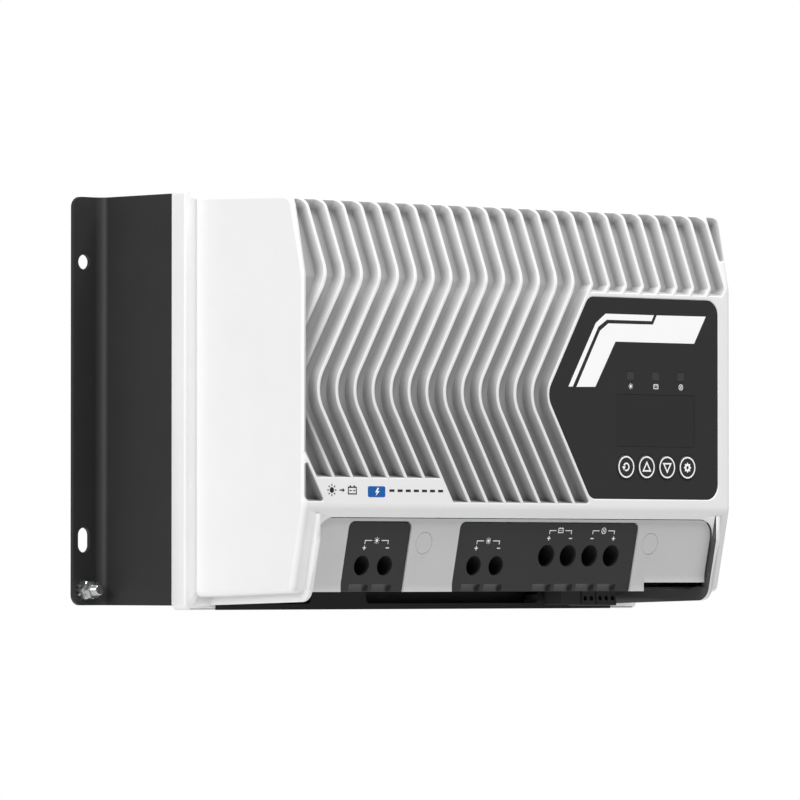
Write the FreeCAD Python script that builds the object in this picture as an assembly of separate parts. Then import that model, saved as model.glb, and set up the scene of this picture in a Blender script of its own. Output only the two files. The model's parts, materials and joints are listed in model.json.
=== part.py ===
"""Wall-mounted solar charge controller, in millimetres.

+X is to the right as seen from the front, +Y points into the wall and +Z is up.
The origin lies on the wall plane, in the middle of the four fixing holes.
"""
import FreeCAD, Part
import math
import os

from FreeCAD import Vector

os.makedirs("parts", exist_ok=True)

# ---- driving dimensions -------------------------------------------------------------
EAR_SPAN = 394.0            # over both mounting ears
SHEET = 2.5                 # chassis sheet
CHASSIS_X = 175.5           # half width over the chassis side walls
CHASSIS_Z = 117.5           # half height of the chassis
CHASSIS_DEPTH = 67.5        # wall plane to the back of the cover
BEND = 5.5                  # inner radius of the ear bend
RETURN = 13.5               # width of the chassis return flanges
HOLE_X = 189.0              # fixing holes, from the middle
HOLE_Z = 80.0
HOLE_R = 4.3
SLOT_LENGTH = 14.4
EAR_CORNER = 6.0

FLANGE_X = 178.0            # half width of the cover's base flange
FLANGE_Z = 120.0
FLANGE_FRONT = -79.3
DEPTH = 170.1               # wall plane to the front face
SIDE_BACK_X = 169.3         # half width of the cover body at the flange
SIDE_FRONT_X = 167.8        # half width of the cover body at the front face
TOP_CREASE_Z = 68.5         # above it the face leans back
LOW_CREASE_Z = -61.5        # below it the face leans back
TOP_LEAN = math.radians(12.3)
LOW_LEAN = math.radians(12.5)
WALL = 3.2                  # cover side, top and lower walls

PITCH = 13.68               # cooling ribs
FIRST_RIB_X = -150.2        # first rib at the upper crease
RIBS = 24
RIB = 3.0                   # rib thickness at its crest
GROOVE = 6.0                # groove depth
RIB_TOP_LEAN = math.radians(11.0)
RIB_LEAN = math.radians(30.0)
RIB_LOW_Z = 4.1             # second bend of the ribs
RIB_BEND = 21.0
GROOVE_TOP_Z = 111.5
GROOVE_MARGIN_X = 166.2     # flat margin at the left and right edges
LABEL_TOP_Z = -45.0         # grooves above the label strip stop here
GROOVE_BOTTOM_Z = -58.6
PANEL_GROOVE_Z = 64.3       # grooves above the display stop here
LABEL_GROOVES = 7           # grooves that stop at the label strip
LONG_GROOVES = 15           # grooves left of the display

PANEL_TOP_Z = 61.6
PANEL_BOTTOM_Z = -55.9
PANEL_RIGHT_X = 157.3
PANEL_VERTEX_X = 19.0
PANEL_POCKET = 1.5
PANEL = 1.2

LCD = (75.0, 138.0, -25.3, 5.3)
LED_X = (86.0, 106.4, 126.8)
LED_Z = 16.1
BUTTON_X = [81.9 + 16.6 * i for i in range(4)]
BUTTON_NAMES = ("button_back", "button_up", "button_down", "button_set")
BUTTON_Z = -37.1
BUTTON_R = 7.0
BUTTON_TRAVEL = 0.8

MOUTH_X = 155.5             # half width of the terminal recess
MOUTH_TOP_Z = -67.5
MOUTH_CORNER = 11.0
CHEEK = 3.0                 # raised rim around the recess
CHEEK_PROUD = 4.0

PV2_BLOCK = (-130.6, -83.4)
MAIN_BLOCK = (-45.6, 95.4)
POLES = {                   # name: X, Z, access hole radius
    "pv2_pos": (-116.5, -94.7, 5.6), "pv2_neg": (-99.0, -94.7, 5.6),
    "pv1_pos": (-30.5, -94.7, 5.6), "pv1_neg": (-13.1, -94.7, 5.6),
    "batt_pos": (25.4, -88.9, 6.3), "batt_neg": (42.6, -88.9, 6.3),
    "load_neg": (59.8, -88.9, 6.3), "load_pos": (77.0, -88.9, 6.3),
}
CAGE_TRAVEL = 9.0           # from open to clamped on bare tongue
PLUG_X = (-72.1, 106.6)     # terminal cover screw caps
PLUG_Z = -81.9
STEP_X = 106.5              # the terminal cover is shorter right of this
STEP_Z = -104.5
COVER_BOTTOM_Z = -109.6

BOARD_Y = -82.0             # back face of the power board
BOARD = 2.0
SINK_FRONT = -65.0          # front face of the heat sink base


# ---- helpers ------------------------------------------------------------------------
def save(name, shape):
    shape.exportStep("parts/" + name + ".step")


def box(x, y, z):
    """Box from three (low, high) pairs."""
    return Part.makeBox(x[1] - x[0], y[1] - y[0], z[1] - z[0], Vector(x[0], y[0], z[0]))


def rod(x, z, r, y0, y1):
    """Cylinder along Y."""
    return Part.makeCylinder(r, y1 - y0, Vector(x, y0, z), Vector(0, 1, 0))


def upright(x, y, r, z0, z1):
    """Cylinder along Z."""
    return Part.makeCylinder(r, z1 - z0, Vector(x, y, z0), Vector(0, 0, 1))


def hexagon(x, z, across, y0, y1):
    """Hexagonal prism along Y, flats up and down."""
    r = across / math.sqrt(3)
    points = [(x + r * math.cos(math.radians(60 * k)), z + r * math.sin(math.radians(60 * k)))
              for k in range(6)]
    return prism(points, 0, "y", y0, y1)


def place(plane, a, b, c):
    """Point from in-plane coordinates a, b and position c along the plane's normal axis."""
    return {"x": Vector(c, a, b), "y": Vector(a, c, b), "z": Vector(a, b, c)}[plane]


def rounded(points, radii, plane, level):
    """Closed wire through 2-D points, with each corner rounded by an arc of its radius."""
    count = len(points)
    if not isinstance(radii, (list, tuple)):
        radii = [radii] * count
    spans = []
    for i, (px, py) in enumerate(points):
        ax, ay = points[i - 1]
        bx, by = points[(i + 1) % count]
        la, lb = math.hypot(ax - px, ay - py), math.hypot(bx - px, by - py)
        ua, ub = ((ax - px) / la, (ay - py) / la), ((bx - px) / lb, (by - py) / lb)
        half = 0.5 * math.acos(max(-1.0, min(1.0, ua[0] * ub[0] + ua[1] * ub[1])))
        r = radii[i]
        if r <= 0:
            spans.append(((px, py), None, (px, py)))
            continue
        run = r / math.tan(half)
        start = (px + ua[0] * run, py + ua[1] * run)
        end = (px + ub[0] * run, py + ub[1] * run)
        bx2, by2 = ua[0] + ub[0], ua[1] + ub[1]
        length = math.hypot(bx2, by2)
        reach = r / math.sin(half) - r
        middle = (px + bx2 / length * reach, py + by2 / length * reach)
        spans.append((start, middle, end))
    edges = []
    for i, (start, middle, end) in enumerate(spans):
        if middle:
            edges.append(Part.Arc(place(plane, *start, level), place(plane, *middle, level),
                                  place(plane, *end, level)).toShape())
        following = spans[(i + 1) % count][0]
        if math.hypot(following[0] - end[0], following[1] - end[1]) > 1e-6:
            edges.append(Part.makeLine(place(plane, *end, level), place(plane, *following, level)))
    return Part.Wire(edges)


def prism(points, radii, plane, low, high):
    """Solid swept from low to high along the plane's normal axis."""
    face = Part.Face(rounded(points, radii, plane, low))
    return face.extrude(place(plane, 0, 0, high - low))


def rectangle(x, z):
    return [(x[0], z[0]), (x[1], z[0]), (x[1], z[1]), (x[0], z[1])]


def slab(x, z, corner, y0, y1):
    """Flat plate in the XZ plane with rounded corners."""
    return prism(rectangle(x, z), corner, "y", y0, y1)


def fuse(shapes):
    shapes = list(shapes)
    return shapes[0].multiFuse(shapes[1:]) if len(shapes) > 1 else shapes[0]


def group(shapes):
    return Part.makeCompound(list(shapes))


def face_y(z, inset=0.0):
    """Y of the cover's front surface at a height, or of a surface set back behind it."""
    middle = -DEPTH + inset
    if z > TOP_CREASE_Z:
        return middle + (z - TOP_CREASE_Z) * math.tan(TOP_LEAN) + inset * (1 / math.cos(TOP_LEAN) - 1)
    if z < LOW_CREASE_Z:
        return middle + (LOW_CREASE_Z - z) * math.tan(LOW_LEAN) + inset * (1 / math.cos(LOW_LEAN) - 1)
    return middle


def screw(x, z, r, head_r, head, y_seat, length, toward=1):
    """Pan-head screw along Y: head before y_seat, shank beyond it, in the toward direction."""
    shank = rod(x, z, r, *sorted((y_seat, y_seat + toward * length)))
    cap = rod(x, z, head_r, *sorted((y_seat - toward * head, y_seat)))
    deep = y_seat - toward * head
    socket = hexagon(x, z, head_r * 0.9, *sorted((deep, deep + toward * head * 0.6)))
    return shank.fuse(cap).cut(socket)


# ---- chassis ------------------------------------------------------------------------
COVER_SCREW_X = 168.5
COVER_SCREW_Z = (-92.0, -30.0, 30.0, 92.0)
REAR_SCREW_X = (-150.0, -50.0, 50.0, 150.0)
REAR_SCREW_Z = 110.5


def mounting_bracket(side):
    """Ear, bend, side wall and front return flange, pressed from one sheet."""
    ear_x, wall_x, turn = EAR_SPAN / 2, CHASSIS_X, BEND + SHEET
    ear = slab((wall_x + BEND, ear_x), (-CHASSIS_Z, CHASSIS_Z), 0, -SHEET, 0)
    wall = box((wall_x - SHEET, wall_x), (-CHASSIS_DEPTH, -turn), (-CHASSIS_Z, CHASSIS_Z))
    lip = box((wall_x - RETURN, wall_x - SHEET), (-CHASSIS_DEPTH, -CHASSIS_DEPTH + SHEET),
              (-CHASSIS_Z, CHASSIS_Z))
    centre = (wall_x + BEND, -turn)
    outer = upright(*centre, turn, -CHASSIS_Z, CHASSIS_Z)
    inner = upright(*centre, BEND, -CHASSIS_Z - 1, CHASSIS_Z + 1)
    quarter = box((wall_x - SHEET, centre[0]), (-turn, 0), (-CHASSIS_Z, CHASSIS_Z))
    bracket = fuse([ear, wall, lip, outer.cut(inner).common(quarter)]).removeSplitter()
    corners = [e for e in bracket.Edges
               if abs(e.Vertexes[0].X - ear_x) < 1e-6 and abs(e.Vertexes[-1].X - ear_x) < 1e-6
               and abs(e.Length - SHEET) < 1e-6]
    bracket = bracket.makeFillet(EAR_CORNER, corners)
    bracket = bracket.cut(rod(HOLE_X, HOLE_Z, HOLE_R, -SHEET - 1, 1))
    half = SLOT_LENGTH / 2
    bracket = bracket.cut(slab((HOLE_X - HOLE_R, HOLE_X + HOLE_R), (-HOLE_Z - half, -HOLE_Z + half),
                               HOLE_R, -SHEET - 1, 1))
    for z in COVER_SCREW_Z:
        bracket = bracket.cut(rod(COVER_SCREW_X, z, 2.2, -CHASSIS_DEPTH - 1, -CHASSIS_DEPTH + SHEET + 1))
    if side < 0:
        bracket = bracket.mirror(Vector(0, 0, 0), Vector(1, 0, 0))
        bracket = bracket.cut(rod(-HOLE_X, GROUND_Z, STUD_R, -SHEET - 1, 1))
    return bracket


def channel(side):
    """Top or bottom chassis wall with front and rear flanges and two end tabs."""
    z_out, z_in = side * CHASSIS_Z, side * (CHASSIS_Z - SHEET)
    z_lip = side * (CHASSIS_Z - RETURN)
    end_x, lip_x = CHASSIS_X - SHEET - 0.1, CHASSIS_X - RETURN - 0.1
    rear = -SHEET - 0.05
    wall = box((-end_x, end_x), (-CHASSIS_DEPTH, rear), sorted((z_in, z_out)))
    notch_y = (-CHASSIS_DEPTH - 1, -CHASSIS_DEPTH + SHEET + 0.1)
    for s in (-1, 1):
        wall = wall.cut(box(sorted((s * lip_x, s * (end_x + 1))), notch_y, (-200, 200)))
    front = box((-lip_x, lip_x), (-CHASSIS_DEPTH, -CHASSIS_DEPTH + SHEET), sorted((z_lip, z_in)))
    back = box((-lip_x, lip_x), (rear - SHEET, rear), sorted((z_lip, z_in)))
    tabs = [box(sorted((s * end_x, s * (end_x - SHEET))), (-56, -12), sorted((z_lip, z_in)))
            for s in (-1, 1)]
    shape = fuse([wall, front, back] + tabs).removeSplitter()
    for x in REAR_SCREW_X:
        shape = shape.cut(rod(x, side * REAR_SCREW_Z, 2.0, rear - SHEET - 1, rear + 1))
    return shape


def rear_panel():
    half_x = CHASSIS_X - SHEET - 0.5
    panel = slab((-half_x, half_x), (-CHASSIS_Z, CHASSIS_Z), 2.0, -SHEET, 0)
    for x in REAR_SCREW_X:
        for z in (-REAR_SCREW_Z, REAR_SCREW_Z):
            cone = Part.makeCone(2.2, 4.4, 2.2, Vector(x, -2.2, z), Vector(0, 1, 0))
            panel = panel.cut(rod(x, z, 2.2, -SHEET - 1, 1)).cut(cone)
    return panel


def rear_panel_screws():
    screws = []
    for x in REAR_SCREW_X:
        for z in (-REAR_SCREW_Z, REAR_SCREW_Z):
            head = Part.makeCone(1.98, 4.2, 2.1, Vector(x, -2.25, z), Vector(0, 1, 0))
            screws.append(rod(x, z, 1.98, -9.0, -2.2).fuse(head).cut(hexagon(x, z, 2.5, -1.6, 0.1)))
    return group(screws)


# ---- front cover --------------------------------------------------------------------
def body_profile():
    """Side outline of the cover body, as (Y, Z), from the flange over the top to the bottom."""
    top_z, bottom_z = 114.2, -110.0
    return [(FLANGE_FRONT + 1, 116.4), (face_y(top_z), top_z), (face_y(TOP_CREASE_Z), TOP_CREASE_Z),
            (face_y(LOW_CREASE_Z), LOW_CREASE_Z), (face_y(bottom_z), bottom_z), (FLANGE_FRONT + 1, -112.6)]


def cover_body():
    radii = [0, 9.0, 16.0, 16.0, 4.0, 0]
    sides = prism(body_profile(), radii, "x", -200, 200)
    plan = [(-SIDE_BACK_X, FLANGE_FRONT + 1), (-SIDE_FRONT_X, -DEPTH - 1),
            (SIDE_FRONT_X, -DEPTH - 1), (SIDE_BACK_X, FLANGE_FRONT + 1)]
    body = sides.common(prism(plan, 0, "z", -200, 200)).removeSplitter()
    rim = [e for e in body.Edges
           if min(abs(v.X) for v in e.Vertexes) > SIDE_FRONT_X - 1
           and min(v.Y for v in e.Vertexes) < FLANGE_FRONT - 1]
    return body.makeFillet(3.2, rim)


def cover_flange():
    plate = slab((-FLANGE_X, FLANGE_X), (-FLANGE_Z, FLANGE_Z), 4.0, FLANGE_FRONT, -CHASSIS_DEPTH)
    front = [e for e in plate.Edges if all(abs(v.Y - FLANGE_FRONT) < 1e-6 for v in e.Vertexes)]
    return plate.makeFillet(1.4, front)


def cheek_outline():
    """Side outline of the raised rim beside the terminal recess, as (Y, Z)."""
    proud_z = LOW_CREASE_Z - CHEEK_PROUD / math.tan(LOW_LEAN)
    low_z = -115.0
    low_y = face_y(low_z) - CHEEK_PROUD
    return [(-DEPTH, LOW_CREASE_Z - 4), (-DEPTH, proud_z), (low_y, low_z), (FLANGE_FRONT + 1, -117.2),
            (FLANGE_FRONT + 1, LOW_CREASE_Z - 4)]


def cover_cavity():
    inner = GROOVE + 2.6
    top, low = 111.0, -85.0
    profile = [(-CHASSIS_DEPTH + 1, 112.9), (face_y(top, inner), top), (-DEPTH + inner, TOP_CREASE_Z - 1),
               (-DEPTH + inner, low), (face_y(-107.0, WALL), -107.0), (FLANGE_FRONT, -109.6),
               (-CHASSIS_DEPTH + 1, -111.0)]
    cavity = prism(profile, 0, "x", -200, 200)
    half_back, half_front = SIDE_BACK_X - WALL - 1.1, SIDE_FRONT_X - WALL
    plan = [(-half_back, -CHASSIS_DEPTH + 1), (-half_front, -DEPTH), (half_front, -DEPTH),
            (half_back, -CHASSIS_DEPTH + 1)]
    return cavity.common(prism(plan, 0, "z", -200, 200))


def rib_x(index, z):
    """Centre of a rib at a height: it bends at the upper crease and again lower down."""
    x = FIRST_RIB_X + index * PITCH
    if z >= TOP_CREASE_Z:
        return x - (z - TOP_CREASE_Z) * math.tan(RIB_TOP_LEAN)
    if z >= RIB_LOW_Z:
        return x - (TOP_CREASE_Z - z) * math.tan(RIB_LEAN)
    return x - (TOP_CREASE_Z - RIB_LOW_Z) * math.tan(RIB_LEAN) + (RIB_LOW_Z - z) * math.tan(RIB_LEAN)


def groove_bottom(index):
    if index < 0:
        return GROOVE_BOTTOM_Z
    if index < LABEL_GROOVES:
        return LABEL_TOP_Z
    return GROOVE_BOTTOM_Z if index < LONG_GROOVES else PANEL_GROOVE_Z


def groove(index):
    """Prism between two neighbouring ribs."""
    low_z, half = groove_bottom(index), RIB / 2
    bends = [TOP_CREASE_Z, RIB_LOW_Z] if low_z < RIB_LOW_Z else [TOP_CREASE_Z]
    heights = [GROOVE_TOP_Z] + bends + [low_z]
    ends = [3.5] + [RIB_BEND] * len(bends) + [0.8]
    if low_z > RIB_LOW_Z:
        ends = [3.5, 3.0, 0.8]
    left = [(rib_x(index, z) + half, z) for z in heights]
    right = [(rib_x(index + 1, z) - half, z) for z in reversed(heights)]
    return prism(left + right, ends + list(reversed(ends)), "y", -DEPTH - 5, -DEPTH + 30)


def groove_cutter():
    """All grooves, cut to their depth behind the leaning front face and kept off the margins."""
    prisms = [groove(i) for i in range(-1, RIBS)]
    floor = [(-DEPTH - 8, 140), (face_y(140, GROOVE), 140),
             (-DEPTH + GROOVE, TOP_CREASE_Z - GROOVE * math.tan(TOP_LEAN / 2)),
             (-DEPTH + GROOVE, -80), (-DEPTH - 8, -80)]
    zone = prism(floor, 0, "x", -GROOVE_MARGIN_X, GROOVE_MARGIN_X)
    return group([p.common(zone) for p in prisms])


def panel_outline(gap=0.0):
    """Display panel outline: five corners, its left side follows the ribs."""
    slope = math.tan(RIB_LEAN)
    vertex = PANEL_VERTEX_X + gap / math.cos(RIB_LEAN)
    top, bottom, right = PANEL_TOP_Z - gap, PANEL_BOTTOM_Z + gap, PANEL_RIGHT_X - gap
    points = [(vertex, RIB_LOW_Z), (vertex + (RIB_LOW_Z - bottom) * slope, bottom), (right, bottom),
              (right, top), (vertex + (top - RIB_LOW_Z) * slope, top)]
    return points, [12.0, 7.0, 9.0, 9.0, 7.0]


CONTROL_BOARD = ((62.0, 152.0), (-54.0, 30.0))
CONTROL_BOARD_FRONT = -152.0
CONTROL_POSTS = [(66.5, -49.5), (147.5, -49.5), (66.5, 25.5), (147.5, 25.5)]
FLANGE_WINDOWS = ((-126.0, -83.0), (-41.0, 96.0))


def front_cover():
    cheeks = [prism(cheek_outline(), [0, 8.0, 9.0, 0, 0], "x", *sorted((s * MOUTH_X, s * (MOUTH_X + CHEEK))))
              for s in (-1, 1)]
    cover = fuse([cover_flange(), cover_body()] + cheeks)
    cover = cover.cut(cover_cavity())
    mouth = [(-MOUTH_X, -140.0), (MOUTH_X, -140.0), (MOUTH_X, MOUTH_TOP_Z), (-MOUTH_X, MOUTH_TOP_Z)]
    cover = cover.cut(prism(mouth, [0, 0, MOUTH_CORNER, MOUTH_CORNER], "y", -DEPTH - 9, FLANGE_FRONT - 0.01))
    for x in FLANGE_WINDOWS:
        cover = cover.cut(slab(x, (-118.7, -104.0), 3.0, FLANGE_FRONT - 1, -CHASSIS_DEPTH + 1))
    points, radii = panel_outline()
    cover = cover.cut(prism(points, radii, "y", -DEPTH - 1, -DEPTH + PANEL_POCKET))
    cover = cover.cut(slab((72.0, 143.0), (-46.0, 22.0), 3.0, -DEPTH, -DEPTH + 20))
    cover = cover.cut(groove_cutter())
    posts = [rod(x, z, 3.6, CONTROL_BOARD_FRONT - 11.0, CONTROL_BOARD_FRONT) for x, z in CONTROL_POSTS]
    cover = cover.multiFuse(posts)
    for x, z in CONTROL_POSTS:
        cover = cover.cut(rod(x, z, 1.25, CONTROL_BOARD_FRONT - 7.0, CONTROL_BOARD_FRONT + 1))
    for s in (-1, 1):
        for z in COVER_SCREW_Z:
            cover = cover.cut(rod(s * COVER_SCREW_X, z, 1.99, -CHASSIS_DEPTH - 9.5, -CHASSIS_DEPTH + 1))
    return cover.cut(gasket(0.0)).removeSplitter()


def gasket(lift):
    """Foam strip round the top and sides of the cover's back face."""
    outer_x, outer_z, width = 175.0, 117.0, 3.5
    y = (-CHASSIS_DEPTH - 2.0, -CHASSIS_DEPTH - lift)
    ring = box((-outer_x, outer_x), y, (-112.0, outer_z))
    return ring.cut(box((-outer_x + width, outer_x - width), (y[0] - 1, y[1] + 1), (-130.0, outer_z - width)))


def cover_screws():
    return group(screw(s * COVER_SCREW_X, z, 1.98, 3.6, 2.4, SINK_FRONT + 6.0, 17.0, -1)
                 for s in (-1, 1) for z in COVER_SCREW_Z)


# ---- display ------------------------------------------------------------------------
def display_panel():
    points, radii = panel_outline(0.25)
    back = -DEPTH + PANEL_POCKET
    panel = prism(points, radii, "y", back - PANEL, back)
    panel = panel.cut(slab(LCD[:2], LCD[2:], 1.0, back - PANEL - 1, back + 1))
    for x in LED_X:
        window = slab((x - 3.0, x + 3.0), (LED_Z - 2.6, LED_Z + 2.6), 0.6, back - PANEL - 1, back + 1)
        panel = panel.cut(window)
    for x in BUTTON_X:
        panel = panel.cut(rod(x, BUTTON_Z, BUTTON_R + 0.3, back - PANEL - 1, back + 1))
    return panel


def lcd_lens():
    back = -DEPTH + PANEL_POCKET
    gap = 0.15
    return slab((LCD[0] + gap, LCD[1] - gap), (LCD[2] + gap, LCD[3] - gap), 0.9, back - PANEL + 0.1, back)


def lcd_module():
    """Glass sandwich on a backlight frame, with its bezel."""
    glass = box((76.0, 137.0), (-167.6, -164.8), (-27.5, 7.5))
    frame = box((74.0, 139.0), (-164.8, CONTROL_BOARD_FRONT - 0.6), (-28.0, 9.0))
    clips = [box((x, x + 3), (CONTROL_BOARD_FRONT - 0.6, CONTROL_BOARD_FRONT), (-28.0, -24.0))
             for x in (80, 130)]
    return fuse([glass, frame] + clips)


def control_board():
    board = slab(*CONTROL_BOARD, 3.0, CONTROL_BOARD_FRONT, CONTROL_BOARD_FRONT + 1.6)
    for x, z in CONTROL_POSTS:
        board = board.cut(rod(x, z, 1.6, CONTROL_BOARD_FRONT - 1, CONTROL_BOARD_FRONT + 3))
    header = box((95.0, 115.0), (CONTROL_BOARD_FRONT + 1.6, CONTROL_BOARD_FRONT + 10.0), (20.0, 26.0))
    chip = box((80.0, 92.0), (CONTROL_BOARD_FRONT + 1.6, CONTROL_BOARD_FRONT + 3.0), (-12.0, 0.0))
    return fuse([board, header, chip])


def tact_switches():
    y = CONTROL_BOARD_FRONT
    return group(box((x - 3, x + 3), (y - 3.4, y), (BUTTON_Z - 3, BUTTON_Z + 3)).fuse(
        rod(x, BUTTON_Z, 1.7, y - 4.3, y - 3.4)) for x in BUTTON_X)


def status_leds():
    y = CONTROL_BOARD_FRONT
    return group(box((x - 1.4, x + 1.4), (y - 1.8, y), (LED_Z - 1.0, LED_Z + 1.0)) for x in LED_X)


def light_pipes():
    front, back = -DEPTH + PANEL_POCKET - PANEL + 0.1, CONTROL_BOARD_FRONT - 2.2
    return group(slab((x - 2.85, x + 2.85), (LED_Z - 2.45, LED_Z + 2.45), 0.5, front, front + 1.0).fuse(
        box((x - 2.0, x + 2.0), (front + 1.0, back), (LED_Z - 1.6, LED_Z + 1.6))) for x in LED_X)


def button(x):
    """Cap with a rounded rim, a retaining collar behind the panel and a stem for its switch."""
    front, back = -DEPTH - 0.25, -DEPTH + PANEL_POCKET
    cap = rod(x, BUTTON_Z, BUTTON_R, front, back + 1.2)
    cap = cap.makeFillet(0.5, [e for e in cap.Edges if abs(e.BoundBox.YMax - front) < 1e-6])
    collar = rod(x, BUTTON_Z, BUTTON_R + 0.8, back + 0.05, back + 1.2)
    stem = rod(x, BUTTON_Z, 2.4, back + 1.2, CONTROL_BOARD_FRONT - 4.3 - BUTTON_TRAVEL - 0.2)
    return fuse([cap, collar, stem])


# ---- power electronics --------------------------------------------------------------
STANDOFFS = [(x, z) for x in (-150.0, 0.0, 150.0) for z in (-52.0, 98.0)]
CHOKES = ((-98.0, 30.0), (0.0, 30.0), (98.0, 30.0))
TRANSISTOR_X = [-120.0 + 34.0 * i for i in range(8)]
TRANSISTOR_ROWS = (-22.0, 82.0)
CAPACITORS = [(-130.0 + 26.0 * i, -28.0) for i in range(11)]
BOARD_FRONT = BOARD_Y - BOARD
FUSE_X = (-58.0, -30.0, 30.0, 58.0)


def heat_sink():
    """Extruded plate with straight cooling fins that run up and down, towards the wall."""
    base = box((-170.5, 170.5), (SINK_FRONT, SINK_FRONT + 6.0), (-100.0, 100.0))
    fins = [box((x - 1.2, x + 1.2), (SINK_FRONT + 6.0, -9.0), (-100.0, 100.0))
            for x in [-156.0 + 12.0 * i for i in range(27)]]
    sink = fuse([base] + fins)
    for s in (-1, 1):
        for z in COVER_SCREW_Z:
            sink = sink.cut(rod(s * COVER_SCREW_X, z, 2.2, SINK_FRONT - 1, SINK_FRONT + 7))
            sink = sink.cut(rod(s * COVER_SCREW_X, z, 3.8, SINK_FRONT + 6, -8))
    return sink


def power_transistors():
    """Flat packages lying on the heat sink, with their three legs up to the board."""
    parts = []
    for x in TRANSISTOR_X:
        for z in TRANSISTOR_ROWS:
            body = box((x - 8, x + 8), (SINK_FRONT - 5.6, SINK_FRONT), (z - 10, z + 10))
            legs = [box((x + o - 0.6, x + o + 0.6), (BOARD_FRONT, SINK_FRONT - 2.6), (z + 10, z + 11))
                    for o in (-5.4, 0, 5.4)]
            parts.append(fuse([body] + legs))
    return group(parts)


def transistor_clamps():
    return group(box((-130.0, 128.0), (SINK_FRONT - 8.1, SINK_FRONT - 5.6), (z - 5, z + 5))
                 for z in TRANSISTOR_ROWS)


def power_board():
    board = slab((-158.0, 158.0), (-105.5, 104.0), 3.0, BOARD_FRONT, BOARD_Y)
    for x, z in STANDOFFS:
        board = board.cut(rod(x, z, 1.8, BOARD_FRONT - 1, BOARD_Y + 1))
    for x in TRANSISTOR_X:
        for z in TRANSISTOR_ROWS:
            board = board.cut(box((x - 6.6, x + 6.6), (BOARD_FRONT - 1, BOARD_Y + 1), (z + 9.8, z + 11.2)))
    for x in PLUG_X:
        board = board.cut(rod(x, PLUG_Z, 1.8, BOARD_FRONT - 1, BOARD_Y + 1))
    return board


def board_standoffs():
    return group(hexagon(x, z, 7.0, BOARD_Y, SINK_FRONT).cut(rod(x, z, 1.75, BOARD_Y - 1, BOARD_Y + 8))
                 for x, z in STANDOFFS)


def choke_core(x, z):
    ring = rod(x, z, 28.0, -113.0, -90.0).cut(rod(x, z, 15.0, -114.0, -89.0))
    return ring.makeFillet(2.0, ring.Edges)


def choke_winding(x, z):
    """Wound sleeve round the core, in two halves with a gap at each side."""
    outer = rod(x, z, 31.5, -116.5, -86.5).cut(rod(x, z, 11.0, -117.0, -86.0))
    outer = outer.makeFillet(3.4, outer.Edges)
    room = rod(x, z, 28.1, -113.1, -89.9).cut(rod(x, z, 14.9, -114.0, -89.0))
    gap = box((x - 40, x + 40), (-120, -80), (z - 3, z + 3))
    return outer.cut(room).cut(gap)


def capacitors():
    """Electrolytic cans with a rolled groove above the base."""
    cans = []
    for x, z in CAPACITORS:
        can = rod(x, z, 11.0, -128.0, BOARD_FRONT)
        can = can.makeFillet(1.2, [e for e in can.Edges if abs(e.BoundBox.YMax + 128.0) < 1e-6])
        cans.append(can.cut(Part.makeTorus(11.6, 1.2, Vector(x, BOARD_FRONT - 4.0, z), Vector(0, 1, 0))))
    return group(cans)


def blade_fuses():
    """Fuses plugged into holders on the board."""
    parts = []
    for x in FUSE_X:
        holder = box((x - 11, x + 11), (BOARD_FRONT - 12.0, BOARD_FRONT), (-56.0, -46.0))
        fuse_body = box((x - 9.5, x + 9.5), (BOARD_FRONT - 22.0, BOARD_FRONT - 12.0), (-54.0, -48.0))
        parts.append(fuse([holder, fuse_body]))
    return group(parts)


# ---- terminals ----------------------------------------------------------------------
CHAMBER_X = 7.3
CHAMBER_TOP_Z = -76.0
SEAT_Y = -146.5
SCREW_R = 3.0
TONGUE_Y = (-123.7, -120.7)
TONGUE_X = 4.3
CAGE_X = 6.5
CAGE_Y = (-133.0, -109.0)
CHAMBER_Y = (CAGE_Y[0] - CAGE_TRAVEL - 1.5, CAGE_Y[1] + 3.0)
CAGE_HALF_Z = 6.5
HOUSING_BACK = -98.0
HOUSING_TOP_Z = -70.0
BLOCK_SET_BACK = 1.7


def housing(x_range, poles):
    """Terminal block: leaning front, screw wells, and a cable chamber open below each pole."""
    low, high = -109.5, HOUSING_TOP_Z
    side = [(face_y(high, BLOCK_SET_BACK), high), (face_y(low, BLOCK_SET_BACK), low),
            (HOUSING_BACK, low), (HOUSING_BACK, high)]
    block = prism(side, 0, "x", *x_range)
    corner = [(x_range[0], low - 1), (x_range[1], low - 1), (x_range[1], high), (x_range[0], high)]
    block = block.common(prism(corner, [0, 0, 3.5, 3.5], "y", -180, -90))
    for x, z, hole_r in poles:
        block = block.cut(box((x - CHAMBER_X, x + CHAMBER_X), CHAMBER_Y, (low - 1, CHAMBER_TOP_Z)))
        block = block.cut(rod(x, z, hole_r, -175, SEAT_Y))
        block = block.cut(rod(x, z, SCREW_R + 0.3, SEAT_Y - 1, CHAMBER_Y[0] + 1))
        slot = box((x - TONGUE_X - 0.1, x + TONGUE_X + 0.1), (TONGUE_Y[0] - 0.1, TONGUE_Y[1] + 0.1),
                   (CHAMBER_TOP_Z - 1, high + 1))
        block = block.cut(slot)
        scoop = Part.makeCylinder(9.0, 2 * CHAMBER_X, Vector(x - CHAMBER_X, -161.0, low - 4.5),
                                  Vector(1, 0, 0))
        block = block.cut(scoop)
    return block


def cage(x, z):
    """Rising clamp: a square loop that the screw draws forward against the tongue."""
    outer = box((x - CAGE_X, x + CAGE_X), CAGE_Y, (z - CAGE_HALF_Z, z + CAGE_HALF_Z))
    inner = box((x - CAGE_X + 1.6, x + CAGE_X - 1.6), (CAGE_Y[0] + 3.0, CAGE_Y[1] - 2.0), (z - 20, z + 20))
    return outer.cut(inner).cut(rod(x, z, SCREW_R + 0.3, CAGE_Y[0] - 1, CAGE_Y[0] + 4))


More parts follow.
